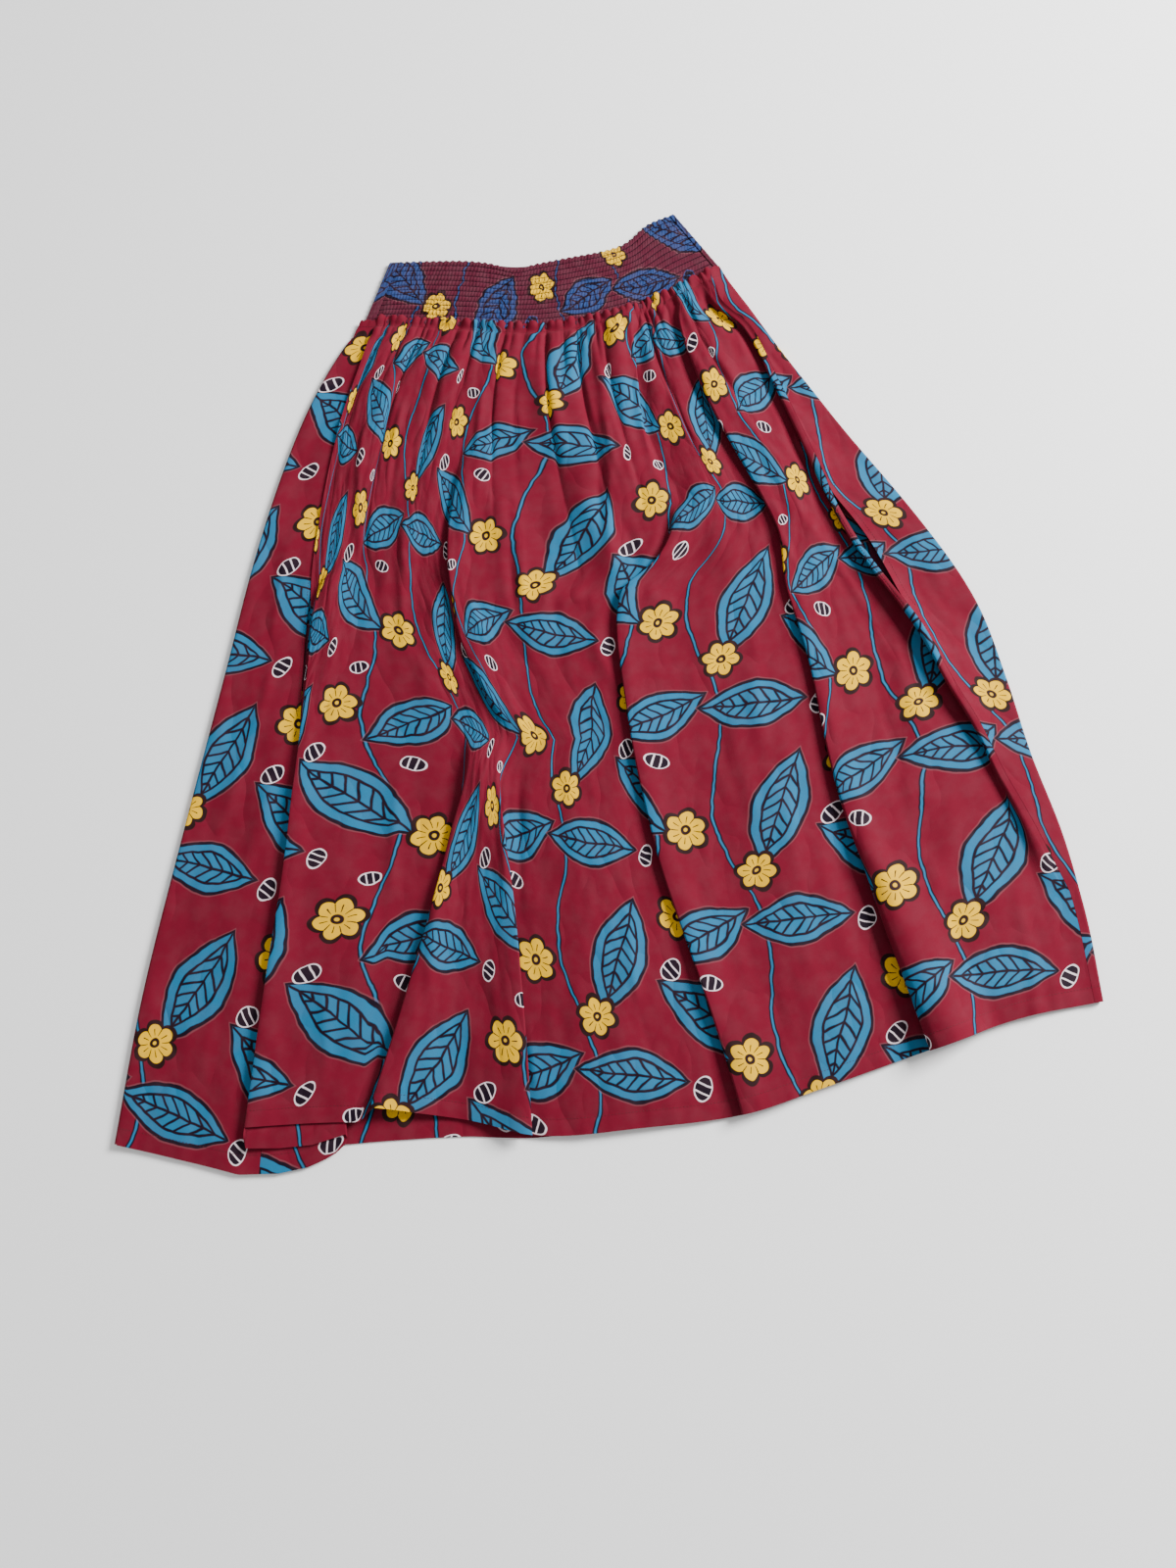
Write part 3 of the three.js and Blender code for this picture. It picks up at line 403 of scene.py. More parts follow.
def patch_points(across, down):
    """Points of the patch that the waist seam, the hem and the two side edges bound."""
    q = np.asarray(across, float)[:, None]
    left, right = (edge(down) for edge in SIDE_EDGES)
    sides = (1 - q) * left + q * right
    ends = (1 - down) * SEAM_EDGE(across) + down * HEM_EDGE(across)
    top = (1 - q) * SEAM_EDGE.points[0] + q * SEAM_EDGE.points[-1]
    bottom = (1 - q) * HEM_EDGE.points[0] + q * HEM_EDGE.points[-1]
    return sides + ends - (1 - down) * top - down * bottom


class Row:
    """A line of points measured along its own length."""

    def __init__(self, points):
        self.points = points
        self.across = np.linspace(0, 1, len(points))
        steps = np.linalg.norm(np.diff(points, axis=0), axis=1)
        self.lengths = np.concatenate([[0], np.cumsum(steps)])
        self.length = self.lengths[-1]

    def length_at(self, across):
        return np.interp(across, self.across, self.lengths)

    def across_at(self, s):
        return np.interp(s, self.lengths, self.across)

    def place(self, s, z, drop=0):
        """Points at distances along the row, moved by `drop` towards the hem."""
        i = np.clip(np.searchsorted(self.lengths, s, side="right") - 1, 0, len(self.lengths) - 2)
        step = self.lengths[i + 1] - self.lengths[i]
        share = ((s - self.lengths[i]) / step)[:, None]
        along = (self.points[i + 1] - self.points[i]) / step[:, None]
        point = self.points[i] * (1 - share) + self.points[i + 1] * share
        towards_hem = np.stack([along[:, 1], -along[:, 0]], -1)
        point = point + towards_hem * np.reshape(drop, (-1, 1))
        return np.column_stack([point, z])


def skirt_row(down):
    return Row(patch_points(np.linspace(0, 1, SAMPLES + 1), down))


def fall(distance, hold, over):
    """1 within `hold` of an edge, then a smooth fall to 0 over `over`."""
    return 1 - smoothstep(distance, hold, hold + over)


def fold_run(lap, turn, roll):
    """One fold's run through the section, from its own start: turn, lap, turn back."""
    bend = math.radians(turn)
    unfolded = 1 - abs(bend) / math.pi
    spare = RUN_OUT_STEP * unfolded**2
    hidden = lerp(LOOSE_TURN, FOLD_TURN, min(lap / LOOSE_LAP, 1))
    shown = max(roll, hidden)
    first, second = (hidden, shown) if bend > 0 else (shown, hidden)
    steps = TURN_STEPS * FINE_TURN
    lengths, turns = [], []
    for radius, side in ((first, 1), (second, -1)):
        lengths += [(radius * abs(bend) + spare * TURN_STEPS) / steps] * steps
        turns += [side * bend / steps] * steps
        if side == 1:
            lengths += [(lap + spare) / FINE_LAP] * FINE_LAP
            turns += [0] * FINE_LAP
    turns = np.array(turns)
    heading = np.cumsum(turns) - turns / 2
    s = np.concatenate([[0], np.cumsum(lengths * np.cos(heading))])
    z = np.concatenate([[0], np.cumsum(lengths * np.sin(heading))])
    return s, z


FOLD_COLUMNS = np.concatenate([
    np.linspace(0, TURN_STEPS, TURN_STEPS * FINE_TURN, endpoint=False),
    np.linspace(TURN_STEPS, TURN_STEPS + 1, FINE_LAP, endpoint=False),
    np.linspace(TURN_STEPS + 1, 2 * TURN_STEPS + 1, TURN_STEPS * FINE_TURN + 1),
])


class Fold:
    """A fold as it is at one height, with the edge that shows where its table says."""

    def __init__(self, stations, standing, down, row):
        _, lap, turn, roll = values_at(stations, down)
        tall, distance, width = values_at(standing, down)
        places = np.array(stations, float).T[:2]
        closed = abs(turn) / 180
        s, z = fold_run(lap, turn, roll)
        half = TURN_STEPS * FINE_TURN
        lip = s[half:].min() if turn > 0 else s[: half + 1].max()
        self.edge = float(row.length_at(smooth_value(down, *places)))
        self.stillness = min(1, 2 * closed)
        self.lap = lap
        self.rise = abs(z[-1])
        self.left_over = turn < 0
        self.stand_up = (tall * self.stillness**2, distance, width)
        self.s = s + self.edge - closed * lip
        self.z = z + max(0, -z[-1])


def ridge_height(ridges, down, s, row):
    height = np.zeros_like(s)
    for from_down, from_across, to_down, to_across, tall, width in ridges:
        share = (down - from_down) / (to_down - from_down)
        if 0 < share < 1:
            centre = row.length_at(min(max(lerp(from_across, to_across, share), 0), 1))
            fade = min(1, RIDGE_ENDS * share, RIDGE_ENDS * (1 - share))
            height += tall * fade * np.exp(-(((s - centre) / width) ** 2))
    return height


def near(distance, width):
    """1 in the middle of a narrow valley, falling off steeply on both sides."""
    rounding, offset = VALLEY_POINT
    return np.exp(-(np.sqrt(distance**2 + rounding) - offset) / width)


def tucks():
    """Small tucks along the waist seam: where each lies, how far it reaches, and its depth."""
    chance = np.random.default_rng(TUCK_SEED)
    across = (np.arange(TUCKS) + 0.5 + chance.uniform(-TUCK_SCATTER, TUCK_SCATTER, TUCKS)) / TUCKS
    reach = lerp(*TUCK_REACH, chance.random(TUCKS) ** SHORT_TUCKS)
    return list(zip(across, reach, chance.uniform(*TUCK_DEPTH, TUCKS)))


ALL_TUCKS = tucks()


def valley_share(down, s, row):
    """How deep in a valley of the gathers each place lies, from 0 on a crown to 1 in a valley."""
    crown = np.ones_like(s)
    for from_across, to_across, reach, depth in VALLEYS:
        share = down / reach
        if share < 1:
            centre = row.length_at(lerp(from_across, to_across, share))
            fade = depth * (1 - share**2)
            crown *= 1 - fade * near(s - centre, VALLEY_WIDTH * (1 + VALLEY_SPREAD * share))
    for across, reach, depth in ALL_TUCKS:
        share = down / reach
        if share < 1:
            centre = row.length_at(across)
            fade = depth * (1 - share) ** TUCK_FADE
            crown *= 1 - fade * near(s - centre, TUCK_WIDTH * (1 + share))
    return 1 - crown


def lobes(s, row):
    """The ruffle's lobes along the waist seam: 1 in the middle between two tucks, 0 in a tuck."""
    lobe = np.ones_like(s)
    least, more = LOBE_DEPTH
    for across, _, depth in ALL_TUCKS:
        centre = row.length_at(across)
        lobe *= 1 - (least + more * depth) * near(s - centre, LOBE_WIDTH)
    return lobe


def ruffle_value(name, down):
    return float(smooth_value(down * SKIRT_LENGTH / MM, RUFFLE["cloth"], RUFFLE[name]))


def frill(down, s, row):
    """How far the ruffle at the top of the gathers is moved up from its place along the skirt."""
    cloth = min(down * SKIRT_LENGTH / MM, RUFFLE["cloth"][-1])
    least, more = RUFFLE_HEIGHT
    height = least + more * lobes(s, row) * waves(s, 0, RUFFLE_WAVES, RUFFLE_MEAN)
    return height * ruffle_value("rise", down) + cloth - ruffle_value("below", down)


def gather_crown(down, s):
    """Share of the gathers' full height: steep at the waist seam, then slowly less down the skirt."""
    fade = 1 - np.clip(down / GATHER_END, 0, 1)
    return ruffle_value("full", down) * fade * waves(s, down, GATHER_WAVES, GATHER_MEAN)


class Section:
    """The top of the skirt at one height: the front panel's path and the strips beside it."""

    def __init__(self, down, cloth, creases):
        self.down = down
        self.row = skirt_row(down)
        self.level = values_at(FRONT_LEVEL, down)[0]
        self.folds = [Fold(FOLDS[name][1], STAND_UP[name], down, self.row) for name in FOLDS]
        self.cloth = cloth
        self.creases = creases
        self.left_seam = self.folds[0].edge + values_at(LEFT_SEAM_OFFSET, down)[0]
        self.right_seam = self.folds[-1].s[-1] + RIGHT_SEAM_OFFSET

    def slit(self, side):
        start, end, gap = POCKET_SLITS[side]
        return gap * math.sin(math.pi * min(max((self.down - start) / (end - start), 0), 1))

    def soft(self, s):
        """Height of the ridges, the creases and the swell along both side edges."""
        swell = EDGE_SWELL_HEIGHT * smoothstep(self.down, 0, EDGE_SWELL_START)
        edges = fall(s, 0, EDGE_SWELL_WIDTH) + fall(self.row.length - s, 0, EDGE_SWELL_WIDTH)
        fine = ridge_height(self.creases, self.down, s, self.row) + self.short_creases(s)
        return RIDGE_SHARE * ridge_height(RIDGES, self.down, s, self.row) + swell * edges + fine

    def short_creases(self, s):
        place = self.row.place(s, s * 0)[:, :2]
        height = np.zeros_like(s)
        for x, y, end_x, end_y, tall, width in CREASES:
            run = np.array([end_x - x, end_y - y])
            share = np.clip((place - (x, y)) @ run / (run @ run), 0, 1)
            apart = np.linalg.norm(place - (x, y) - share[:, None] * run, axis=1)
            taper = CREASE_ENDS + (1 - CREASE_ENDS) * np.sin(math.pi * share)
            height += tall * taper * np.exp(-((apart / width) ** CREASE_POWER))
        return height

    def standing(self, s, done):
        """Extra height of each fold's upper layer beside its edge."""
        height = np.zeros_like(s)
        for i, fold in enumerate(self.folds):
            tall, distance, width = fold.stand_up
            above = smoothstep(np.asarray(done, float) - i, *TURN_OVER)
            inward = fold.edge - s if fold.left_over else s - fold.edge
            above = 1 - above if fold.left_over else above
            height += tall * above * np.exp(-(((inward - distance) / width) ** 2))
        return height

    def carried(self, s, done, ahead):
        """What the folds on either side lift this stretch by."""
        lift = np.zeros_like(s)
        for i, fold in enumerate(self.folds):
            hold = fold.lap + FOLD_TURN + SETTLE_START
            if i < done and not fold.left_over:
                lift += fold.rise * fall(s - fold.edge, hold, SETTLE_LENGTH)
            if i >= ahead and fold.left_over:
                lift += fold.rise * fall(fold.edge - s, hold, SETTLE_LENGTH)
        return lift

    def calm(self, s, done):
        """Share of the gathers that is left beside the folds on either side."""
        share = np.ones_like(s)
        if done > 0:
            fold = self.folds[done - 1]
            share *= 1 - fold.stillness * fall(s - fold.edge, fold.lap + CALM_START, CALM_LENGTH)
        if done < len(self.folds):
            fold = self.folds[done]
            share *= 1 - fold.stillness * fall(fold.s[0] - s, fold.lap + CALM_START, CALM_LENGTH)
        return share

    def puff(self, s, valley, share):
        crown = self.cloth.gather_height * gather_crown(self.down, s)
        return crown * (1 - VALLEY_DEPTH * valley) * share

    def columns(self, start, end, steps):
        """Column places along a stretch, closer together in the valleys of the gathers."""
        fine = np.linspace(start, end, SAMPLES)
        weight = 1 + VALLEY_COLUMNS * valley_share(self.down, fine, self.row)
        total = np.concatenate([[0], np.cumsum((weight[1:] + weight[:-1]) / 2)])
        return np.interp(np.linspace(0, total[-1], steps + 1), total, fine)

    def front_path(self):
        """Distances, heights, folds passed and valleys along the front, from seam to seam."""
        parts = []
        start = self.left_seam + SEAM_GAP / 2 + self.slit("left") / 2
        counts = [count for count, _ in FOLDS.values()] + [LAST_COLUMNS]
        for i, count in enumerate(counts):
            last = i == len(self.folds)
            end = self.right_seam - SEAM_GAP / 2 if last else self.folds[i].s[0]
            steps = count * FINE_COLUMNS
            s = self.columns(start, end, steps)[0 if i == 0 else 1 : steps + 1 if last else steps]
            calm = self.calm(s, i)
            valley = valley_share(self.down, s, self.row)
            z = self.level + self.carried(s, i, i) + self.soft(s) + self.standing(s, i)
            z = z + self.puff(s, valley, calm)
            parts.append((s, z, np.full_like(s, i), valley * calm))
            if last:
                break
            fold = self.folds[i]
            valley = valley_share(self.down, fold.s, self.row)
            still = 1 - fold.stillness
            done = i + FOLD_COLUMNS / FOLD_COLUMNS[-1]
            z = self.level + fold.z + self.carried(fold.s, i, i + 1) + self.soft(fold.s)
            z = z + self.puff(fold.s, valley, still)
            parts.append((fold.s, z + self.standing(fold.s, done), done, valley * still))
            start = fold.s[-1]
        return [np.concatenate(values) for values in zip(*parts)]

    def strip_height(self, s, side):
        done = 0 if side == "left" else len(self.folds)
        return self.level + self.soft(s) + self.carried(s, done, done) + self.standing(s, done)

    def back_path(self, under_level):
        """The back panel's path: right strip, round the right edge, underneath, round the left edge."""
        s_parts, z_parts, layers = [], [], []

        def add(s, z, layer):
            s_parts.append(s)
            z_parts.append(z)
            layers.extend([layer] * len(s))

        def roll(centre, side):
            radius = (float(self.strip_height(np.array([centre]), side)[0]) - under_level) / 2
            start = math.pi / 2 if side == "right" else -math.pi / 2
            turn = np.linspace(start, start - math.pi, ROLL_STEPS + 1)[1:-1]
            add(centre + radius * np.cos(turn), under_level + radius + radius * np.sin(turn), "roll")

        strip_start = self.right_seam + SEAM_GAP / 2 + self.slit("right")
        right_top = max(self.row.length - UNDER_EDGE, strip_start + SHORTEST_STRIP)
        s = np.linspace(strip_start, right_top, STRIP_COLUMNS["right"])
        add(s, self.strip_height(s, "right"), "right")
        roll(right_top, "right")
        floor = np.linspace(right_top, UNDER_EDGE, UNDER_COLUMNS)
        sides = fall(floor - UNDER_EDGE, 0, UNDER_EASE) + fall(right_top - floor, 0, UNDER_EASE)
        crease = valley_share(self.down, self.row.length - floor, self.row) * (1 - np.clip(sides, 0, 1))
        add(floor, under_level + UNDER_CREASE * crease, "floor")
        roll(UNDER_EDGE, "left")
        strip_end = self.left_seam - SEAM_GAP / 2 - self.slit("left") / 2
        s = np.linspace(UNDER_EDGE, strip_end, STRIP_COLUMNS["left"])
        add(s, self.strip_height(s, "left"), "strip")
        return np.concatenate(s_parts), np.concatenate(z_parts), np.array(layers)


def wall_normals(s, z):
    """Unit normals of a path in its section, upright at both ends."""
    step = np.stack([np.diff(s), np.diff(z)], -1)
    step /= np.maximum(np.linalg.norm(step, axis=1), 1e-6)[:, None]
    before = np.vstack([step[:1], step])
    after = np.vstack([step, step[-1:]])
    along = before + after
    along /= np.linalg.norm(along, axis=1)[:, None]
    reach = 1 / np.maximum((along * after).sum(1), MITRE_LIMIT)
    normals = np.stack([-along[:, 1], along[:, 0]], -1) * reach[:, None]
    for end in (0, -1):
        normals[end] = (0, math.copysign(1, along[end, 0]))
    return normals


def wall_mesh(name, outer, inner, uv):
    """A closed cloth wall between two grids of points, with a cloth map on both faces."""
    outer, inner = np.array(outer), np.array(inner)
    rows, columns = outer.shape[:2]
    size = rows * columns
    index = np.arange(size).reshape(rows, columns)
    a, b, c, d = index[:-1, :-1], index[1:, :-1], index[1:, 1:], index[:-1, 1:]
    quads = [np.stack([a, b, c, d], -1).reshape(-1, 4)]
    quads.append(np.stack([a, d, c, b], -1).reshape(-1, 4) + size)

    def rim(line, back):
        line = line[::-1] if back else line
        return np.stack([line[:-1], line[1:], line[1:] + size, line[:-1] + size], -1)

    rims = [rim(index[:, 0], True), rim(index[:, -1], False), rim(index[0], False), rim(index[-1], True)]
    faces = np.vstack(quads + rims)
    points = np.vstack([outer.reshape(-1, 3), inner.reshape(-1, 3)]) * MM
    mesh = bpy.data.meshes.new(name)
    mesh.vertices.add(len(points))
    mesh.vertices.foreach_set("co", points.astype(np.float32).ravel())
    mesh.loops.add(faces.size)
    mesh.loops.foreach_set("vertex_index", faces.astype(np.int32).ravel())
    mesh.polygons.add(len(faces))
    mesh.polygons.foreach_set("loop_start", np.arange(0, faces.size, 4, dtype=np.int32))
    mesh.update(calc_edges=True)
    mesh.validate()
    cloth_map = mesh.uv_layers.new(name="cloth")
    flat_uv = np.vstack([uv.reshape(-1, 2)] * 2)[faces.ravel()]
    cloth_map.data.foreach_set("uv", flat_uv.astype(np.float32).ravel())
    mesh.polygons.foreach_set("use_smooth", np.ones(len(faces), bool))
    rim_start = len(faces) - sum(len(r) for r in rims)
    rim_edges = {tuple(sorted(e)) for f in faces[rim_start:] for e in zip(f, np.roll(f, -1))}
    sharp = mesh.attributes.new("sharp_edge", "BOOLEAN", "EDGE")
    marks = np.array([tuple(sorted(e.vertices)) in rim_edges for e in mesh.edges])
    sharp.data.foreach_set("value", marks)
    piece = bpy.data.objects.new(name, mesh)
    bpy.context.scene.collection.objects.link(piece)
    return piece


def down_values():
    """Where each row of the panels' meshes lies, from the waist seam to the hem."""
    parts = [np.linspace(start, end, count, endpoint=False) for start, end, count in ROWS]
    return np.append(np.concatenate(parts), 1.0)


def minor_creases():
    """Many small creases that run out from the waist and along the skirt, uneven in every way."""
    chance = np.random.default_rng(MINOR_CREASE_SEED)
    creases = []
    for count, starts, places, lengths, lean, heights, widths in MINOR_CREASES:
        for _ in range(count):
            start, across, length = (chance.uniform(*span) for span in (starts, places, lengths))
            end = (start + length, across + chance.normal(0, lean))
            creases.append((start, across, *end, chance.uniform(*heights), chance.uniform(*widths)))
    return creases


def hem_line(down, cloth):
    """1 along the line of the hem's stitches."""
    apart = (1 - down) * SKIRT_LENGTH - cloth.hem_depth + HEM_STITCH_INSET
    return math.exp(-(apart / HEM_LINE_WIDTH) ** 2)


def hem_weight(down, cloth):
    """1 where the hem is turned up and doubled, 0 above it."""
    top = 1 - cloth.hem_depth / SKIRT_LENGTH
    return float(smoothstep(down, top - HEM_STEP[0], top + HEM_STEP[1]))


def size_property(name, description, default, unit="NONE"):
    return FloatProperty(name=name, description=description, default=default, unit=unit)


def colour_property(name, description, default):
    return FloatVectorProperty(
        name=name, description=description, subtype="COLOR", size=3, min=0, max=1, default=default
    )


class SkirtCloth(bpy.types.PropertyGroup):
    """Sizes of the cloth, its gathers, its hem and its smocking"""

    thickness: size_property("Cloth thickness", "Wall of the cloth, in millimetres", 0.8)
    gather_height: size_property("Gather height", "Height of the puffs below the waistband, in mm", 8)
    hem_depth: size_property("Hem depth", "Depth of the turned hem", 0.018, "LENGTH")
    puff_height: size_property("Smocking height", "Height of the band's puffs, in millimetres", 2)
    pucker_width: size_property("Pucker width", "Width of one pucker of the band, in millimetres", 3.9)
    shirring_rows: IntProperty(
        name="Shirring rows", description="Rows of elastic thread in the band", default=12
    )


class SkirtPrint(bpy.types.PropertyGroup):
    """Colours and size of the print"""

    ground: colour_property("Ground", "Crimson ground of the print", (0.125, 0.0042, 0.0155))
    leaf: colour_property("Leaf", "Teal of the leaves", (0.0105, 0.125, 0.245))
    band_ground: colour_property("Band ground", "Maroon ground of the waistband", (0.07, 0.0085, 0.02))
    band_leaf: colour_property("Band leaf", "Royal blue of the waistband's leaves", (0.017, 0.042, 0.14))
    outline: colour_property("Outline", "Navy of the outlines", (0.007, 0.0028, 0.0085))
    petal: colour_property("Petal", "Golden yellow of the flowers", (0.69, 0.385, 0.0))
    vein: colour_property("Vein", "Dark brown of the flowers' veins", (0.014, 0.004, 0.004))
    pale: colour_property("Pale", "White of the small seeds", (0.72, 0.6, 0.64))
    repeat_width: size_property("Repeat width", "Width of the print's repeat", 0.25, "LENGTH")
    repeat_height: size_property("Repeat height", "Height of the print's repeat", 0.235, "LENGTH")


class SkirtStage(bpy.types.PropertyGroup):
    """The floor's colour and the strength of the lights"""

    floor_colour: colour_property("Floor", "Colour of the plain floor", (0.9, 0.9, 0.9))
    key_power: size_property("Key light", "Power of the large soft light", 375, "POWER")
    fill_power: size_property("Fill light", "Power of the fill light", 10, "POWER")
    surround: size_property("Surround", "Strength of the even light", 0.52)


# The print: where each motif of one repeat lies, in metres, with its angle and its sizes
LEAVES = [
    (-0.064, 0.052, 62, 0.064, 0.031), (0.022, -0.022, -40, 0.069, 0.032),
    (0.082, 0.06, 20, 0.053, 0.027), (-0.074, -0.066, -12, 0.057, 0.027),
]
FLOWERS = [(0.012, 0.084, 10, 0.026, 3), (-0.1, -0.006, 40, 0.023, 3), (0.092, -0.066, 75, 0.0255, 3)]
SEEDS = [
    (-0.012, 0.03, 30, 0.0135), (0.075, 0.012, -20, 0.012),
    (-0.008, -0.086, 60, 0.0125), (0.038, -0.108, 10, 0.0105),
]
VINES = [(-0.118, 0.011), (0.048, 0.015)]
LEAF_POINT = 1.75
LINE = 0.0034
THIN_LINE = 0.0014
STEM = 0.0024
EDGE_SOFTNESS = 0.0007
HALO = (0.17, 0.06, 0.07, 1)

# How far and how finely the printed edges wander
WANDER = 0.009
WANDER_NOISE = (30, 2.5)

# Leaves: the inner frame's place, the rib's width, and the veins' slant, spacing and width
LEAF_FRAME = 0.42
RIB_WIDTH = 0.9
VEIN_SLANT = 0.9
VEIN_SPACING = 0.21
VEIN_WIDTH = 0.13
STRIPE_SOFTNESS = 0.08

# Seeds: how narrow they are, and their stripes' spacing and width
SEED_NARROWING = 2.2
SEED_SPACING = 0.62
SEED_STRIPE = 0.1

# Flowers, as shares of their radius: scallops, the rays between two rings, and the heart's two rings
SCALLOP = (0.27, 0.73)
SCALLOP_POWER = 0.7
PETAL_EDGE = 0.0046
RAY_WIDTH = 0.24
RAY_SOFTNESS = 0.12
RAY_RINGS = (0.3, 0.58)
HEART_RINGS = (0.21, 0.08)

# The weave's relief and tone. Each noise has its scale and detail, then its strength
THREAD_HEIGHT = 0.00004
CREASE_STRETCH = 0.5
CREASE_NOISE = (16, 2, 0.0125)
RUMPLE_NOISE = (24, 3, 0.0014)
SLUB_NOISE = (700, 1, 0.12)
CLOUD_NOISE = (9, 3, 0.16)
PLAIN_TONE = 0.86
FADE_NOISE = (55, 4)
FADE_LEVEL = 0.52
FADE_SOFTNESS = 0.25
FADED = (0.11, 0.05, 0.06, 1)

# The cotton's roughness, how much smoother its ink is, and the threads' colours and shades
COTTON_ROUGHNESS = 0.8
INK_SMOOTHNESS = 0.1
# Dark red seam thread; its row below the ruffle is also painted shadow of the pinch there
SEAM_AND_PINCH_SHADOW_THREAD = (0.09, 0.008, 0.014)
# Near-black shirring thread: partly real thread, partly painted shade in the band's grooves
SHIRRING_THREAD_AND_GROOVE_SHADE = (0.012, 0.004, 0.01)
DARK_DYE = 0.55
DYE_NOISE = (900, 2)
PLY_NOISE = (3000, 1)


class Term:
    """A value inside a shader group, so that a pattern's formula reads as one."""

    def __init__(self, tree, value):
        self.tree = tree
        self.value = value

    def apply(self, operation, *others, clamp=False):
        node = self.tree.nodes.new("ShaderNodeMath")
        node.operation = operation
        node.use_clamp = clamp
        for socket, term in zip(node.inputs, (self, *others)):
            value = term.value if isinstance(term, Term) else term
            if isinstance(value, bpy.types.NodeSocket):
                self.tree.links.new(value, socket)
            else:
                socket.default_value = value
        return Term(self.tree, node.outputs[0])

    def __add__(self, other):
        return self.apply("ADD", other)

    def __sub__(self, other):
        return self.apply("SUBTRACT", other)

    def __rsub__(self, other):
        return Term(self.tree, other).apply("SUBTRACT", self)

    def __mul__(self, other):
        return self.apply("MULTIPLY", other)

    __radd__ = __add__
    __rmul__ = __mul__

    def __truediv__(self, other):
        return self.apply("DIVIDE", other)

    def __pow__(self, other):
        return self.apply("POWER", other)

    def __abs__(self):
        return self.apply("ABSOLUTE")

    def over(self, softness):
        """1 where the value is above 0 and 0 below, with a soft step between."""
        return self.apply("MULTIPLY_ADD", 1 / softness, 0.5, clamp=True)


def new_group(name, inputs, outputs):
    """An empty shader group with named inputs and outputs."""
    tree = bpy.data.node_groups.new(name, "ShaderNodeTree")
    for label, kind, default in inputs:
        socket = tree.interface.new_socket(label, in_out="INPUT", socket_type=kind)
        if default is not None:
            socket.default_value = default
    for label, kind in outputs:
        tree.interface.new_socket(label, in_out="OUTPUT", socket_type=kind)
    start = tree.nodes.new("NodeGroupInput")
    end = tree.nodes.new("NodeGroupOutput")
    return tree, start, end


def noise(tree, vector, scale, detail, output="Fac"):
    node = tree.nodes.new("ShaderNodeTexNoise")
    node.inputs["Scale"].default_value = scale
    node.inputs["Detail"].default_value = detail
    tree.links.new(vector, node.inputs["Vector"])
    return node.outputs[output]


def paint(tree, colour, over, mask):
    """Lays one colour over another where the mask is 1."""
    node = tree.nodes.new("ShaderNodeMix")
    node.data_type = "RGBA"
    for socket, value in (("Factor_Float", mask), ("A_Color", colour), ("B_Color", over)):
        target = next(s for s in node.inputs if s.identifier == socket)
        value = value.value if isinstance(value, Term) else value
        if isinstance(value, bpy.types.NodeSocket):
            tree.links.new(value, target)
        else:
            target.default_value = value
    return next(s for s in node.outputs if s.identifier == "Result_Color")


def nearest_copy(u, v, width, height, x, y, angle):
    """Coordinates from the middle of the nearest copy of a motif, in a half-drop repeat."""
    column = ((u - x) / width + 0.5).apply("FLOOR")
    along = u - x - column * width
    up = v - y - column * height * 0.5
    up = up - ((up / height + 0.5).apply("FLOOR")) * height
    turn = math.radians(angle)
    return (
        along * math.cos(turn) + up * math.sin(turn),
        up * math.cos(turn) - along * math.sin(turn),
    )


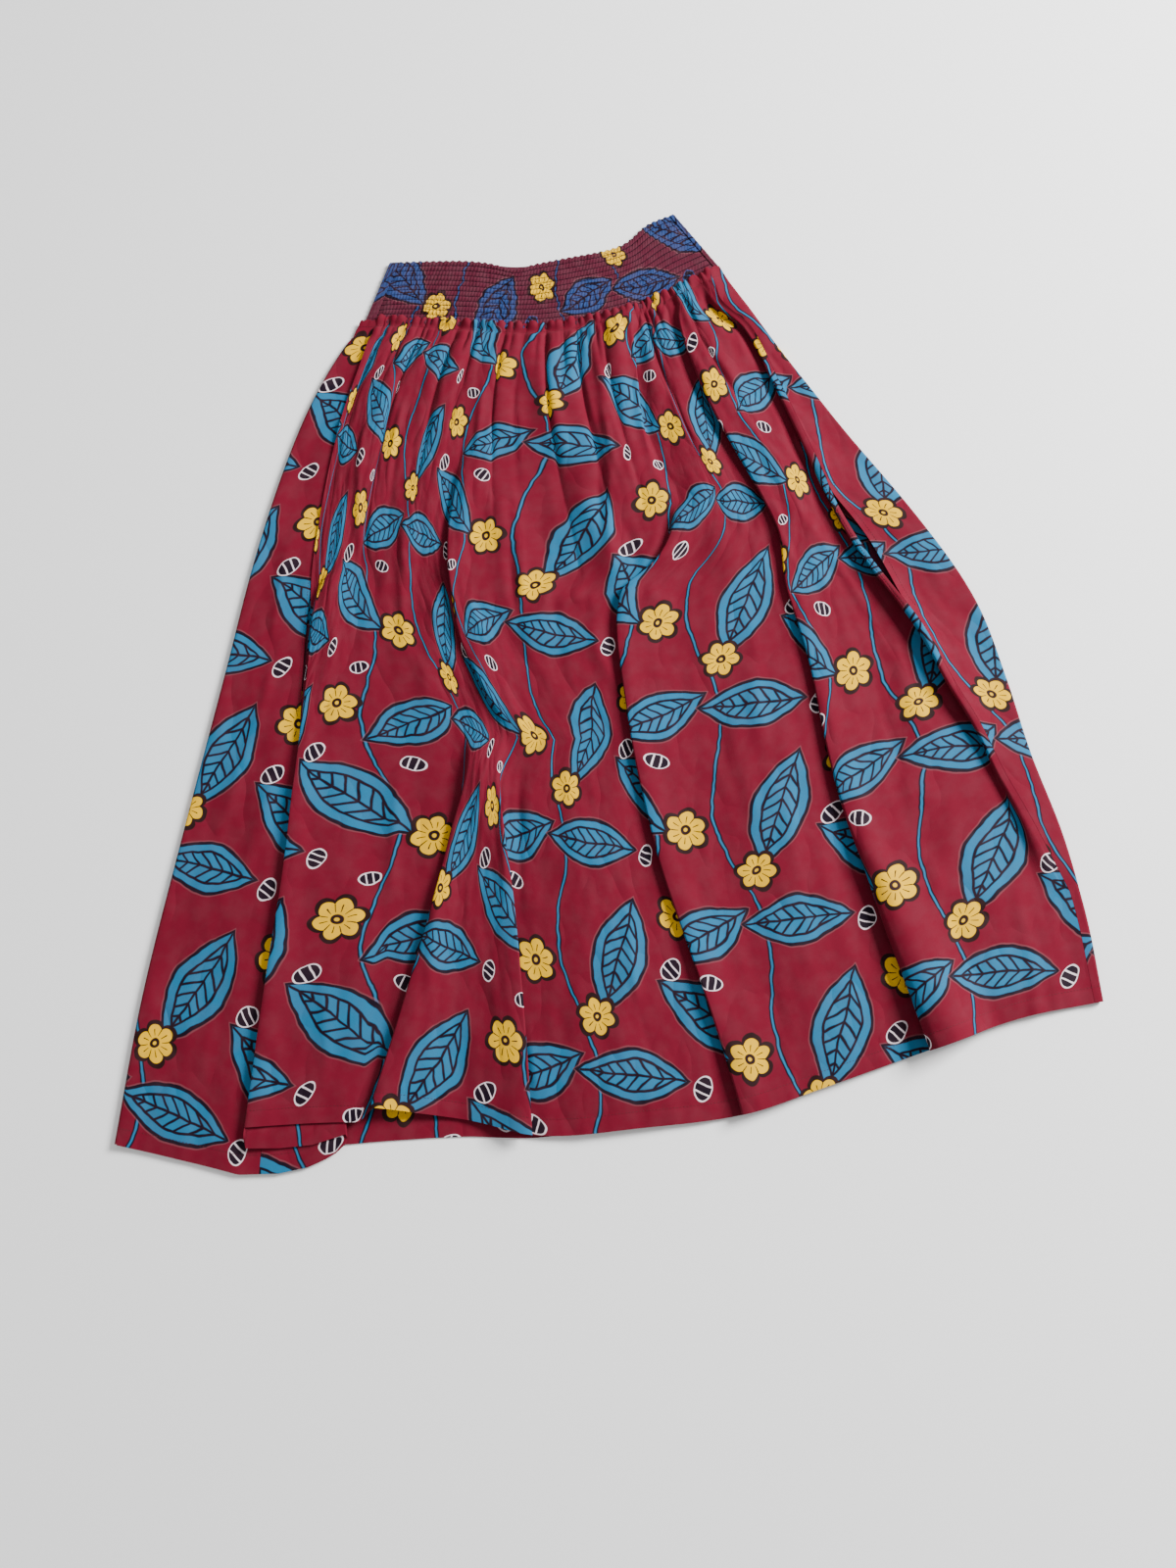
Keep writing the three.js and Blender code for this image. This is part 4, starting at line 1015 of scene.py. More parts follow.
def print_group():
    """Shader group: pointed leaves, round flowers and striped seeds on a plain ground."""
    colours = ("Ground", "Leaf", "Outline", "Petal", "Vein", "Pale")
    inputs = [("Cloth", "NodeSocketVector", None)]
    inputs += [("Width", "NodeSocketFloat", 0.25), ("Height", "NodeSocketFloat", 0.235)]
    inputs += [(name, "NodeSocketColor", (0.5, 0.5, 0.5, 1)) for name in colours]
    tree, start, end = new_group(
        "Leaf and flower print", inputs, [("Color", "NodeSocketColor"), ("Ink", "NodeSocketFloat")]
    )
    sockets = start.outputs
    wobble = tree.nodes.new("ShaderNodeVectorMath")
    wobble.operation = "MULTIPLY_ADD"
    tree.links.new(noise(tree, sockets["Cloth"], *WANDER_NOISE, "Color"), wobble.inputs[0])
    wobble.inputs[1].default_value = (WANDER, WANDER, 0)
    tree.links.new(sockets["Cloth"], wobble.inputs[2])
    split = tree.nodes.new("ShaderNodeSeparateXYZ")
    tree.links.new(wobble.outputs[0], split.inputs[0])
    u, v = Term(tree, split.outputs[0]), Term(tree, split.outputs[1])
    width, height = Term(tree, sockets["Width"]), Term(tree, sockets["Height"])

    colour = sockets["Ground"]
    ink = Term(tree, 0.0)
    soft = EDGE_SOFTNESS
    for x, sway in VINES:
        along, side = nearest_copy(u, v, width, height, x, 0, 90)
        bend = (along / height * (2 * math.pi)).apply("SINE") * sway
        stem = STEM - abs(side - bend)
        colour = paint(tree, colour, sockets["Outline"], stem.over(soft))
        colour = paint(tree, colour, sockets["Leaf"], (stem - THIN_LINE).over(soft))
    for x, y, angle, length, half in LEAVES:
        along, side = nearest_copy(u, v, width, height, x, y, angle)
        side = abs(side)
        inside = (1 - (abs(along) / length) ** LEAF_POINT) * half - side
        colour = paint(tree, colour, HALO, (inside + THIN_LINE).over(soft) * 0.5)
        colour = paint(tree, colour, sockets["Outline"], inside.over(soft))
        colour = paint(tree, colour, sockets["Leaf"], (inside - LINE).over(soft))
        within = inside - half * LEAF_FRAME
        frame_line = (THIN_LINE - abs(within)).over(soft)
        rib = (THIN_LINE * RIB_WIDTH - side).over(soft)
        slant = (along + side * VEIN_SLANT) / (length * VEIN_SPACING)
        stripe = (VEIN_WIDTH - abs(slant.apply("FRACT") - 0.5)).over(STRIPE_SOFTNESS)
        veins = stripe * within.over(soft)
        lines = frame_line.apply("MAXIMUM", rib).apply("MAXIMUM", veins)
        colour = paint(tree, colour, sockets["Outline"], lines * (inside - LINE).over(soft))
        ink = ink.apply("MAXIMUM", inside.over(soft))
    for x, y, angle, radius in SEEDS:
        along, side = nearest_copy(u, v, width, height, x, y, angle)
        apart = (along * along + side * side * SEED_NARROWING).apply("SQRT")
        inside = radius - apart
        colour = paint(tree, colour, sockets["Pale"], inside.over(soft))
        colour = paint(tree, colour, sockets["Outline"], (inside - THIN_LINE).over(soft))
        stripe = (along / (radius * SEED_SPACING)).apply("FRACT") - 0.5
        stripe = (SEED_STRIPE - abs(stripe)).over(STRIPE_SOFTNESS)
        colour = paint(tree, colour, sockets["Pale"], stripe * (inside - THIN_LINE / 2).over(soft))
        ink = ink.apply("MAXIMUM", inside.over(soft))
    for x, y, angle, radius, petals in FLOWERS:
        along, side = nearest_copy(u, v, width, height, x, y, angle)
        apart = (along * along + side * side).apply("SQRT")
        bearing = side.apply("ARCTAN2", along)
        scallop = abs((bearing * petals).apply("COSINE")) ** SCALLOP_POWER
        inside = (scallop * SCALLOP[0] + SCALLOP[1]) * radius - apart
        colour = paint(tree, colour, sockets["Vein"], inside.over(soft))
        colour = paint(tree, colour, sockets["Petal"], (inside - PETAL_EDGE).over(soft))
        ray = (RAY_WIDTH - abs((bearing * (2 * petals)).apply("SINE"))).over(RAY_SOFTNESS)
        near_end, far_end = (radius * ring for ring in RAY_RINGS)
        reach = (apart - near_end).over(soft) * (far_end - apart).over(soft)
        colour = paint(tree, colour, sockets["Vein"], ray * reach)
        outside, hollow = (radius * ring for ring in HEART_RINGS)
        heart = (outside - apart).over(soft) * (apart - hollow).over(soft)
        colour = paint(tree, colour, sockets["Vein"], heart)
        ink = ink.apply("MAXIMUM", inside.over(soft))
    tree.links.new(colour, end.inputs["Color"])
    tree.links.new(ink.value, end.inputs["Ink"])
    return tree


def weave_group():
    """Shader group: plain weave, soft creases and handling marks, as a height and a tone."""
    tree, start, end = new_group(
        "Wax cotton weave",
        [("Cloth", "NodeSocketVector", None), ("Threads", "NodeSocketFloat", 1500.0),
         ("Creasing", "NodeSocketFloat", 1.0)],
        [("Height", "NodeSocketFloat"), ("Tone", "NodeSocketFloat"), ("Fade", "NodeSocketFloat")],
    )
    sockets = start.outputs
    split = tree.nodes.new("ShaderNodeSeparateXYZ")
    tree.links.new(sockets["Cloth"], split.inputs[0])
    threads = Term(tree, sockets["Threads"])
    u, v = Term(tree, split.outputs[0]), Term(tree, split.outputs[1])
    warp = (u * threads * math.pi).apply("SINE")
    weft = (v * threads * math.pi).apply("SINE")
    weave = warp * weft * THREAD_HEIGHT
    stretched = tree.nodes.new("ShaderNodeCombineXYZ")
    tree.links.new(u.value, stretched.inputs[0])
    tree.links.new((v * CREASE_STRETCH).value, stretched.inputs[1])

    def cloth_noise(scale, detail, place=sockets["Cloth"]):
        return Term(tree, noise(tree, place, scale, detail))

    creases = abs(cloth_noise(*CREASE_NOISE[:2], stretched.outputs[0]) - 0.5) * CREASE_NOISE[2]
    rumple = cloth_noise(*RUMPLE_NOISE[:2]) * RUMPLE_NOISE[2]
    height = weave + (creases + rumple) * Term(tree, sockets["Creasing"])
    slub = cloth_noise(*SLUB_NOISE[:2]) * SLUB_NOISE[2]
    cloud = cloth_noise(*CLOUD_NOISE[:2]) * CLOUD_NOISE[2]
    tone = PLAIN_TONE + slub + cloud
    fade = (cloth_noise(*FADE_NOISE) - FADE_LEVEL).over(FADE_SOFTNESS)
    tree.links.new(height.value, end.inputs["Height"])
    tree.links.new(tone.value, end.inputs["Tone"])
    tree.links.new(fade.value, end.inputs["Fade"])
    return tree


def shared_group(name, make):
    return bpy.data.node_groups.get(name) or make()


def new_material(name, roughness, shine, bump_strength, bump_distance):
    """A material with its shader, and a bump that feeds the shader's normal."""
    material = bpy.data.materials.new(name)
    material.use_nodes = True
    tree = material.node_tree
    shader = tree.nodes["Principled BSDF"]
    shader.inputs["Roughness"].default_value = roughness
    shader.inputs["Specular IOR Level"].default_value = shine
    bump = tree.nodes.new("ShaderNodeBump")
    bump.inputs["Strength"].default_value = bump_strength
    bump.inputs["Distance"].default_value = bump_distance
    tree.links.new(bump.outputs[0], shader.inputs["Normal"])
    return material, tree, shader, bump


def printed_cotton(name, ground, leaf, print_settings, creasing=1.0, fading=0.1, pale=None):
    """Wax-printed cotton: the print, its weave and its faint dulling."""
    material, tree, shader, bump = new_material(
        name, roughness=COTTON_ROUGHNESS, shine=0.07, bump_strength=0.8, bump_distance=1
    )
    shader.inputs["Sheen Weight"].default_value = 0.015
    shader.inputs["Sheen Roughness"].default_value = 0.45
    cloth_map = tree.nodes.new("ShaderNodeUVMap")
    cloth_map.uv_map = "cloth"
    pattern = tree.nodes.new("ShaderNodeGroup")
    pattern.node_tree = shared_group("Leaf and flower print", print_group)
    weave = tree.nodes.new("ShaderNodeGroup")
    weave.node_tree = shared_group("Wax cotton weave", weave_group)
    for group in (pattern, weave):
        tree.links.new(cloth_map.outputs["UV"], group.inputs["Cloth"])
    weave.inputs["Creasing"].default_value = creasing
    pattern.inputs["Width"].default_value = print_settings.repeat_width
    pattern.inputs["Height"].default_value = print_settings.repeat_height
    for socket, colour in (
        ("Ground", ground), ("Leaf", leaf), ("Outline", print_settings.outline),
        ("Petal", print_settings.petal), ("Vein", print_settings.vein),
        ("Pale", pale or print_settings.pale),
    ):
        pattern.inputs[socket].default_value = (*colour, 1)
    dulling = Term(tree, weave.outputs["Fade"]) * fading
    dulled = paint(tree, pattern.outputs["Color"], FADED, dulling)
    toned = tree.nodes.new("ShaderNodeVectorMath")
    toned.operation = "SCALE"
    tree.links.new(dulled, toned.inputs[0])
    tree.links.new(weave.outputs["Tone"], toned.inputs["Scale"])
    tree.links.new(toned.outputs[0], shader.inputs["Base Color"])
    roughness = COTTON_ROUGHNESS - Term(tree, pattern.outputs["Ink"]) * INK_SMOOTHNESS
    tree.links.new(roughness.value, shader.inputs["Roughness"])
    tree.links.new(weave.outputs["Height"], bump.inputs["Height"])
    return material


def band_cotton(name, colours):
    return printed_cotton(
        name, colours.band_ground, colours.band_leaf, colours,
        creasing=0.4, fading=0.2, pale=colours.band_leaf,
    )


def stitch_tree():
    """Geometry Nodes: a row of equal stitches along each line of the mesh."""
    tree = bpy.data.node_groups.new("Running stitches", "GeometryNodeTree")
    tree.interface.new_socket("Geometry", in_out="INPUT", socket_type="NodeSocketGeometry")
    for name, default in (("Spacing", 0.0032), ("Length", 0.0024), ("Thickness", 0.0005)):
        socket = tree.interface.new_socket(name, in_out="INPUT", socket_type="NodeSocketFloat")
        socket.default_value = default
    tree.interface.new_socket("Thread", in_out="INPUT", socket_type="NodeSocketMaterial")
    tree.interface.new_socket("Geometry", in_out="OUTPUT", socket_type="NodeSocketGeometry")

    def node(kind, **links):
        made = tree.nodes.new(kind)
        for name, source in links.items():
            tree.links.new(source, made.inputs[name.replace("_", " ")])
        return made

    start = tree.nodes.new("NodeGroupInput").outputs
    curve = node("GeometryNodeMeshToCurve", Mesh=start["Geometry"])
    points = node("GeometryNodeResampleCurve", Curve=curve.outputs[0])
    points.mode = "LENGTH"
    tree.links.new(start["Spacing"], points.inputs["Length"])
    tangent = tree.nodes.new("GeometryNodeInputTangent").outputs[0]
    turn = node("FunctionNodeAlignRotationToVector", Vector=tangent)
    turn.axis = "X"
    size = node("ShaderNodeCombineXYZ", X=start["Length"], Y=start["Thickness"], Z=start["Thickness"])
    stitch = tree.nodes.new("GeometryNodeMeshIcoSphere")
    stitch.inputs["Radius"].default_value = 0.5
    stitch.inputs["Subdivisions"].default_value = 1
    stitches = node(
        "GeometryNodeInstanceOnPoints", Points=points.outputs[0], Instance=stitch.outputs[0],
        Rotation=turn.outputs[0], Scale=size.outputs[0],
    )
    real = node("GeometryNodeRealizeInstances", Geometry=stitches.outputs[0])
    dyed = node("GeometryNodeSetMaterial", Geometry=real.outputs[0], Material=start["Thread"])
    node("NodeGroupOutput", Geometry=dyed.outputs[0])
    return tree


def sewing_thread(name, colour, shine=0.25):
    """Spun thread: twisted plies seen as fine bands, with a little variation of the dye."""
    material, tree, shader, bump = new_material(
        name, roughness=0.6, shine=shine, bump_strength=1, bump_distance=0.0002
    )
    place = tree.nodes.new("ShaderNodeTexCoord").outputs["Object"]
    dye = noise(tree, place, *DYE_NOISE)
    dark = tuple(channel * DARK_DYE for channel in colour)
    tree.links.new(paint(tree, (*dark, 1), (*colour, 1), dye), shader.inputs["Base Color"])
    tree.links.new(noise(tree, place, *PLY_NOISE), bump.inputs["Height"])
    return material


def stitch_line(outer, inner, lift=STITCH_LIFT):
    """A line just above the cloth's outer side, in metres."""
    up = outer - inner
    up /= np.linalg.norm(up, axis=-1)[..., None]
    line = (outer + up * lift) * MM
    line[:, 2] = np.maximum(line[:, 2], LOWEST_STITCH)
    return line


def sew(name, lines, thread, sizes):
    """Turns lines on the cloth into rows of stitches, as one plain mesh."""
    starts = np.cumsum([0] + [len(line) for line in lines])
    edges = [(i, i + 1) for a, b in zip(starts[:-1], starts[1:]) for i in range(a, b - 1)]
    guide_mesh = bpy.data.meshes.new(name + "_guide")
    guide_mesh.from_pydata(np.vstack(lines).tolist(), edges, [])
    guide = bpy.data.objects.new(name + "_guide", guide_mesh)
    bpy.context.scene.collection.objects.link(guide)
    modifier = guide.modifiers.new("stitches", "NODES")
    tree = bpy.data.node_groups.get("Running stitches") or stitch_tree()
    modifier.node_group = tree
    for item in tree.interface.items_tree:
        value = {**sizes, "Thread": thread}.get(item.name)
        if item.in_out == "INPUT" and value is not None:
            modifier[item.identifier] = value
    evaluated = guide.evaluated_get(bpy.context.evaluated_depsgraph_get())
    stitches = bpy.data.objects.new(name, bpy.data.meshes.new_from_object(evaluated))
    bpy.context.scene.collection.objects.link(stitches)
    bpy.data.objects.remove(guide)
    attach(stitches, "root")
    return stitches


def row_at(down):
    """The number of the mesh's row that lies nearest to a place down the skirt."""
    return int(np.argmin(np.abs(down_values() - down)))


def panel_stitches(name, outer, inner, slit_columns, cloth):
    """The rows of stitches below the ruffle and along the hem, and one row beside each pocket slit. The
    dark row below the ruffle is partly real stitching and partly painted shadow of the pinch there.
    """
    # The dark row below the ruffle: partly real stitching, partly painted shadow of the pinch under the
    # ruffle
    rows = [row_at(PINCH_SHADOW_STITCH_LINE), row_at(1 - (cloth.hem_depth - HEM_STITCH_INSET) / SKIRT_LENGTH)]
    lines = [stitch_line(outer[row], inner[row]) for row in rows]
    for side, column in slit_columns:
        start, end, _ = POCKET_SLITS[side]
        rows = slice(row_at(start - PAST_SLIT), row_at(end + PAST_SLIT) + 1)
        lines.append(stitch_line(outer[rows, column], inner[rows, column]))
    dye = "dark red thread"
    thread = bpy.data.materials.get(dye) or sewing_thread(dye, SEAM_AND_PINCH_SHADOW_THREAD)
    sew(name, lines, thread, SEAM_STITCH)


def finish_piece(piece, material, node):
    """Gives a piece its material, and puts it on the root body in place of its node."""
    piece.data.materials.append(material)
    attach(piece, "root")
    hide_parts(node)


def arc_length(s, z):
    return np.concatenate([[0], np.cumsum(np.hypot(np.diff(s), np.diff(z)))])


def spread(positions, shares, at, width):
    """Shares along a row, smoothed over a width, with mirrored ends."""
    whole = positions[-1]
    middle = (positions[1:] + positions[:-1]) / 2
    total = np.zeros_like(at)
    for places in (middle, -middle, 2 * whole - middle):
        total += np.exp(-(((at[:, None] - places) / width) ** 2)) @ shares
    return total / (width * math.sqrt(math.pi))


def places_in_cut(lengths, hem_u, down, valley):
    """Where each column lies across the cut: evenly in the open, with the rest hidden in the valleys."""
    width = lerp(*PRINT_SMOOTHING, float(smoothstep(down, *SMOOTHING_PLACE)))
    at = np.linspace(0, lengths[-1], CUT_SAMPLES)
    even = spread(lengths, np.diff(hem_u), at, width)
    hidden = OPEN_CLOTH + VALLEY_CLOTH[0] * np.interp(at, lengths, valley) ** VALLEY_CLOTH[1]
    around = spread(at, (hidden[1:] + hidden[:-1]) / 2 * np.diff(at), at, VALLEY_CLOTH_SPREAD)
    share = 1 - float(smoothstep(down, *VALLEY_CLOTH_END))
    density = even * lerp(1, hidden / around, share)
    u = np.concatenate([[0], np.cumsum((density[1:] + density[:-1]) / 2)])
    whole = hem_u[-1] * lerp(TOP_OF_CUT, 1, down)
    return (np.interp(lengths, at, u) / u[-1] - 0.5) * whole + hem_u[-1] / 2


def both_sides(section, s, z, drop):
    """The cloth's upper and lower side along one path, thicker where the hem is turned up."""
    thickness = section.cloth.thickness
    half = thickness / 2
    doubled = half + thickness * HEM_DOUBLING * hem_weight(section.down, section.cloth)
    normals = wall_normals(s, z)
    height = np.maximum(z + normals[:, 1] * half, 0)
    outer = section.row.place(s + normals[:, 0] * half, height, drop)
    inner = section.row.place(s - normals[:, 0] * doubled, z - normals[:, 1] * doubled, drop)
    return outer, inner


def swell_at(down, swell, share):
    """Height of the ruffle's swell, which is gone a few millimetres above and below its middle."""
    height, middle, length = swell
    return height * share * math.exp(-(((down - middle) / length) ** 2))


def front_panel_grids(cloth):
    creases = minor_creases()
    walls, paths = [], []
    for down in down_values():
        section = Section(down, cloth, creases)
        s, z, done, valley = section.front_path()
        across = section.row.across_at(s)
        under = np.interp(across, UNDER_HEM["across"], UNDER_HEM["drop"])
        over = np.interp(across, OVER_HEM["across"], OVER_HEM["drop"])
        drop = lerp(under, over, np.clip(done, 0, 1)) * down**DROP_POWER
        if down < RUFFLE_END:
            drop = drop - frill(down, s, section.row)
            z = z + swell_at(down, FRONT_SWELL, lobes(s, section.row))
        z = z - HEM_LINE_DIP * hem_line(down, cloth)
        walls.append(both_sides(section, s, z, drop))
        paths.append((arc_length(s, z), down, valley))
    hem_u = paths[-1][0] / paths[-1][0][-1] * FRONT_CUT[0]
    u = [places_in_cut(lengths, hem_u, down, valley) for lengths, down, valley in paths]
    outer, inner = (np.array(side) for side in zip(*walls))
    return outer, inner, np.array(u)


def back_panel_grids(cloth):
    creases = minor_creases()
    walls, u = [], []
    for down in down_values():
        section = Section(down, cloth, creases)
        s, z, layers = section.back_path(cloth.thickness / 2)
        across = np.clip(section.row.across_at(s), 0, 1)
        strip = np.interp(across, UNDER_HEM["across"], UNDER_HEM["drop"])
        floor = np.interp(across, BACK_HEM["across"], BACK_HEM["drop"])
        drop = np.where(layers == "strip", strip, np.where(layers == "floor", floor, 0))
        drop = drop * down**DROP_POWER
        if down < RUFFLE_END:
            top = smoothstep(z, *BACK_SWELL_LEVELS)
            drop = drop - top * frill(down, s, section.row)
            z = z + swell_at(down, BACK_SWELL, top)
        walls.append(both_sides(section, s, z, drop))
        lengths = arc_length(s, z) * MM
        hidden = BACK_CUT[0] - lengths[-1]
        u.append(BACK_PRINT_START + lengths + hidden * smoothstep(lengths / lengths[-1], *BACK_HIDDEN))
    outer, inner = (np.array(side) for side in zip(*walls))
    return outer, inner, np.array(u)


class SKIRT_OT_front_panel(bpy.types.Operator):
    """Build the front panel with its gathers, folds and turned hem"""

    bl_idname = "skirt.front_panel"
    bl_label = "Front panel"

    def execute(self, context):
        cloth, colours = context.scene.skirt_cloth, context.scene.skirt_print
        outer, inner, u = front_panel_grids(cloth)
        down = down_values()
        v = -down * SKIRT_LENGTH - RUFFLE_CLOTH * smoothstep(down, *RUFFLE_CLOTH_PLACE)
        v = np.repeat(v[:, None], u.shape[1], axis=1)
        piece = wall_mesh("front_panel_cloth", outer, inner, np.stack([u, v], -1))
        material = printed_cotton("printed front cotton", colours.ground, colours.leaf, colours)
        finish_piece(piece, material, "front_panel")
        panel_stitches("front_stitches_and_pinch_shadow", outer, inner, FRONT_SLITS, cloth)
        return {"FINISHED"}


class SKIRT_OT_back_panel(bpy.types.Operator):
    """Build the back panel, which lies underneath and wraps round both side edges"""

    bl_idname = "skirt.back_panel"
    bl_label = "Back panel"

    def execute(self, context):
        cloth, colours = context.scene.skirt_cloth, context.scene.skirt_print
        outer, inner, u = back_panel_grids(cloth)
        v = np.repeat(-down_values()[:, None] * SKIRT_LENGTH, u.shape[1], axis=1)
        piece = wall_mesh("back_panel_cloth", outer, inner, np.stack([u, v], -1))
        material = printed_cotton("printed back cotton", colours.ground, colours.leaf, colours)
        finish_piece(piece, material, "back_panel")
        panel_stitches("back_stitches_and_pinch_shadow", outer, inner, BACK_SLITS, cloth)
        return {"FINISHED"}


# The smocked band: its layers, as in the part's source, and the size of one half's cut in metres
BAND_WALL = 1.6
BAND_LAYER_GAP = 0.4
BAND_ROLL = (BAND_WALL + BAND_LAYER_GAP) / 2
BAND_FRONT_LEVEL = BAND_WALL / 2 + 2 * BAND_ROLL
BAND_STRIP = {"left": 10, "right": 4}
BAND_CUT = (0.53, 0.1)

# The band's fine rows and columns. The dip of its top edge has a place, width, depth and power, and
# the frill along that edge a height and a power
BAND_COLUMNS = 440
BAND_LINES = 7
BAND_END_FADE = 60
BAND_DIP = (0.4, 0.05, 5, 4)
BAND_FRILL = (0.9, 12)
BAND_SINK = 0.3
BAND_INSIDE = (0.5, 0.9)

# Between two rows of thread the cloth puffs up, puckered unevenly along the row
SMOCKING_SEED = 5
ROW_SHIFT = 0.16
ROW_SIZES = (0.75, 1.1)
ROW_ROUNDNESS = 0.45
PUCKER_ROUNDNESS = 0.75
PUCKER_WAVES = [(0.5, 41, 0, 0.7), (0.3, 17, 0, 2.1)]
PUFF_MEAN = 0.8
PUFF_WAVES = ([(0.2, 9.3, 0, 1.9)], [(1, 23, 0, 1)])
GROOVE_SHARE = 0.16
PUFF_SHARE = (0.45, 0.55)
PRINT_JOGS = [(0.0014, 5.7, 0, 2.1), (0.0009, 2.9, 0, -3.3)]

# The band's back half: rows, steps of its rolls, columns underneath and on its strips, and how its
# puffs show at each level
BACK_BAND_ROWS = 53
BACK_BAND_ROLL = 11
BACK_BAND_FLOOR = 120
BACK_BAND_STRIP = {"left": 8, "right": 3}
TOP_PUFF = (2, 2.7, 0.8)
INSIDE_PUFF = (1, 1.2, 0.25)
FLOOR_PUFF = (0.3, 2.6, 3)
BACK_BAND_INSIDE = 0.4


def band_row(up):
    """One row of the band, from its foot at the waist seam to its top edge."""
    across = np.linspace(0, 1, SAMPLES + 1)
    foot = SEAM_EDGE(across)
    rise = BAND_TOP_EDGE(across) - foot
    start = foot + rise * (SEAM_GAP / np.linalg.norm(rise, axis=1))[:, None]
    return Row(start + (BAND_TOP_EDGE(across) - start) * up)


def smocking(s, up, cloth):
    """Height of the smocked puffs at distances along one row of the band."""
    chance = np.random.default_rng(SMOCKING_SEED)
    shifts = np.cumsum(chance.normal(0, ROW_SHIFT, cloth.shirring_rows + 1))
    sizes = chance.uniform(*ROW_SIZES, cloth.shirring_rows + 1)
    place = up * (cloth.shirring_rows + 1)
    interval = min(int(place), cloth.shirring_rows)
    across_row = abs(math.sin(math.pi * (place - interval))) ** ROW_ROUNDNESS
    phase = s / cloth.pucker_width + waves(s, interval, PUCKER_WAVES) + shifts[interval]
    pucker = np.abs(np.sin(math.pi * phase)) ** PUCKER_ROUNDNESS
    short, long = (waves(s, interval, table) for table in PUFF_WAVES)
    plain, puckered = PUFF_SHARE
    puff = across_row * (plain + puckered * pucker) * (PUFF_MEAN + short * long) * sizes[interval]
    return cloth.puff_height * (GROOVE_SHARE * pucker + puff)


def grid_map(width, height, columns, rows):
    """A cloth map for a grid that covers its whole cut evenly."""
    return np.stack(np.meshgrid(np.linspace(0, width, columns), -np.linspace(*height, rows)), -1)


class SKIRT_OT_band_front(bpy.types.Operator):
    """Build the front half of the smocked elastic waistband"""

    bl_idname = "skirt.band_front"
    bl_label = "Smocked band, front"

    def execute(self, context):
        cloth, colours = context.scene.skirt_cloth, context.scene.skirt_print
        lines = (cloth.shirring_rows + 1) * BAND_LINES
        share = np.linspace(0, 1, BAND_COLUMNS + 1)
        fade = np.clip(np.minimum(share, 1 - share) * BAND_END_FADE, 0, 1)
        centre, width, depth, power = BAND_DIP
        notch = np.exp(-(((share - centre) / width) ** 2))
        top = BAND_FRONT_LEVEL + BAND_WALL / 2 - BAND_SINK
        edge = BAND_ROLL + BAND_WALL / 2
        outer, inner, jogs = [], [], []
        for up in np.linspace(1, 0, lines + 1):
            row = band_row(up)
            start = edge + BAND_STRIP["left"] + SEAM_GAP
            end = row.length - edge - BAND_STRIP["right"] - SEAM_GAP
            s = lerp(start, end, share)
            puff = smocking(s, up, cloth) * fade
            frill = BAND_FRILL[0] * up ** BAND_FRILL[1] * np.sin(math.pi * s / cloth.pucker_width)
            drop = depth * up**power * notch + frill
            jogs.append(waves(s, up * (cloth.shirring_rows + 1), PRINT_JOGS))
            outer.append(row.place(s, top + puff, drop))
            inner.append(row.place(s, top + puff * BAND_INSIDE[0] - BAND_INSIDE[1], drop))
        uv = grid_map(BAND_CUT[0], (0, BAND_CUT[1]), BAND_COLUMNS + 1, lines + 1)
        uv[..., 0] += np.array(jogs)
        piece = wall_mesh("waistband_front_cloth", outer, inner, uv)
        material = band_cotton("smocked band cotton", colours)
        finish_piece(piece, material, "waistband_front")
        # Thick, near-black shirring threads along the grooves: partly real thread, partly painted shade
        # in the grooves
        rows = [BAND_LINES * row for row in range(1, cloth.shirring_rows + 1)]
        threads = [stitch_line(outer[row], inner[row], SHIRRING_LIFT) for row in rows]
        thread = sewing_thread("shirring thread and groove shade", SHIRRING_THREAD_AND_GROOVE_SHADE, shine=0.02)
        sew("shirring_stitches_and_groove_shade", threads, thread, SHIRRING_STITCH)
        return {"FINISHED"}


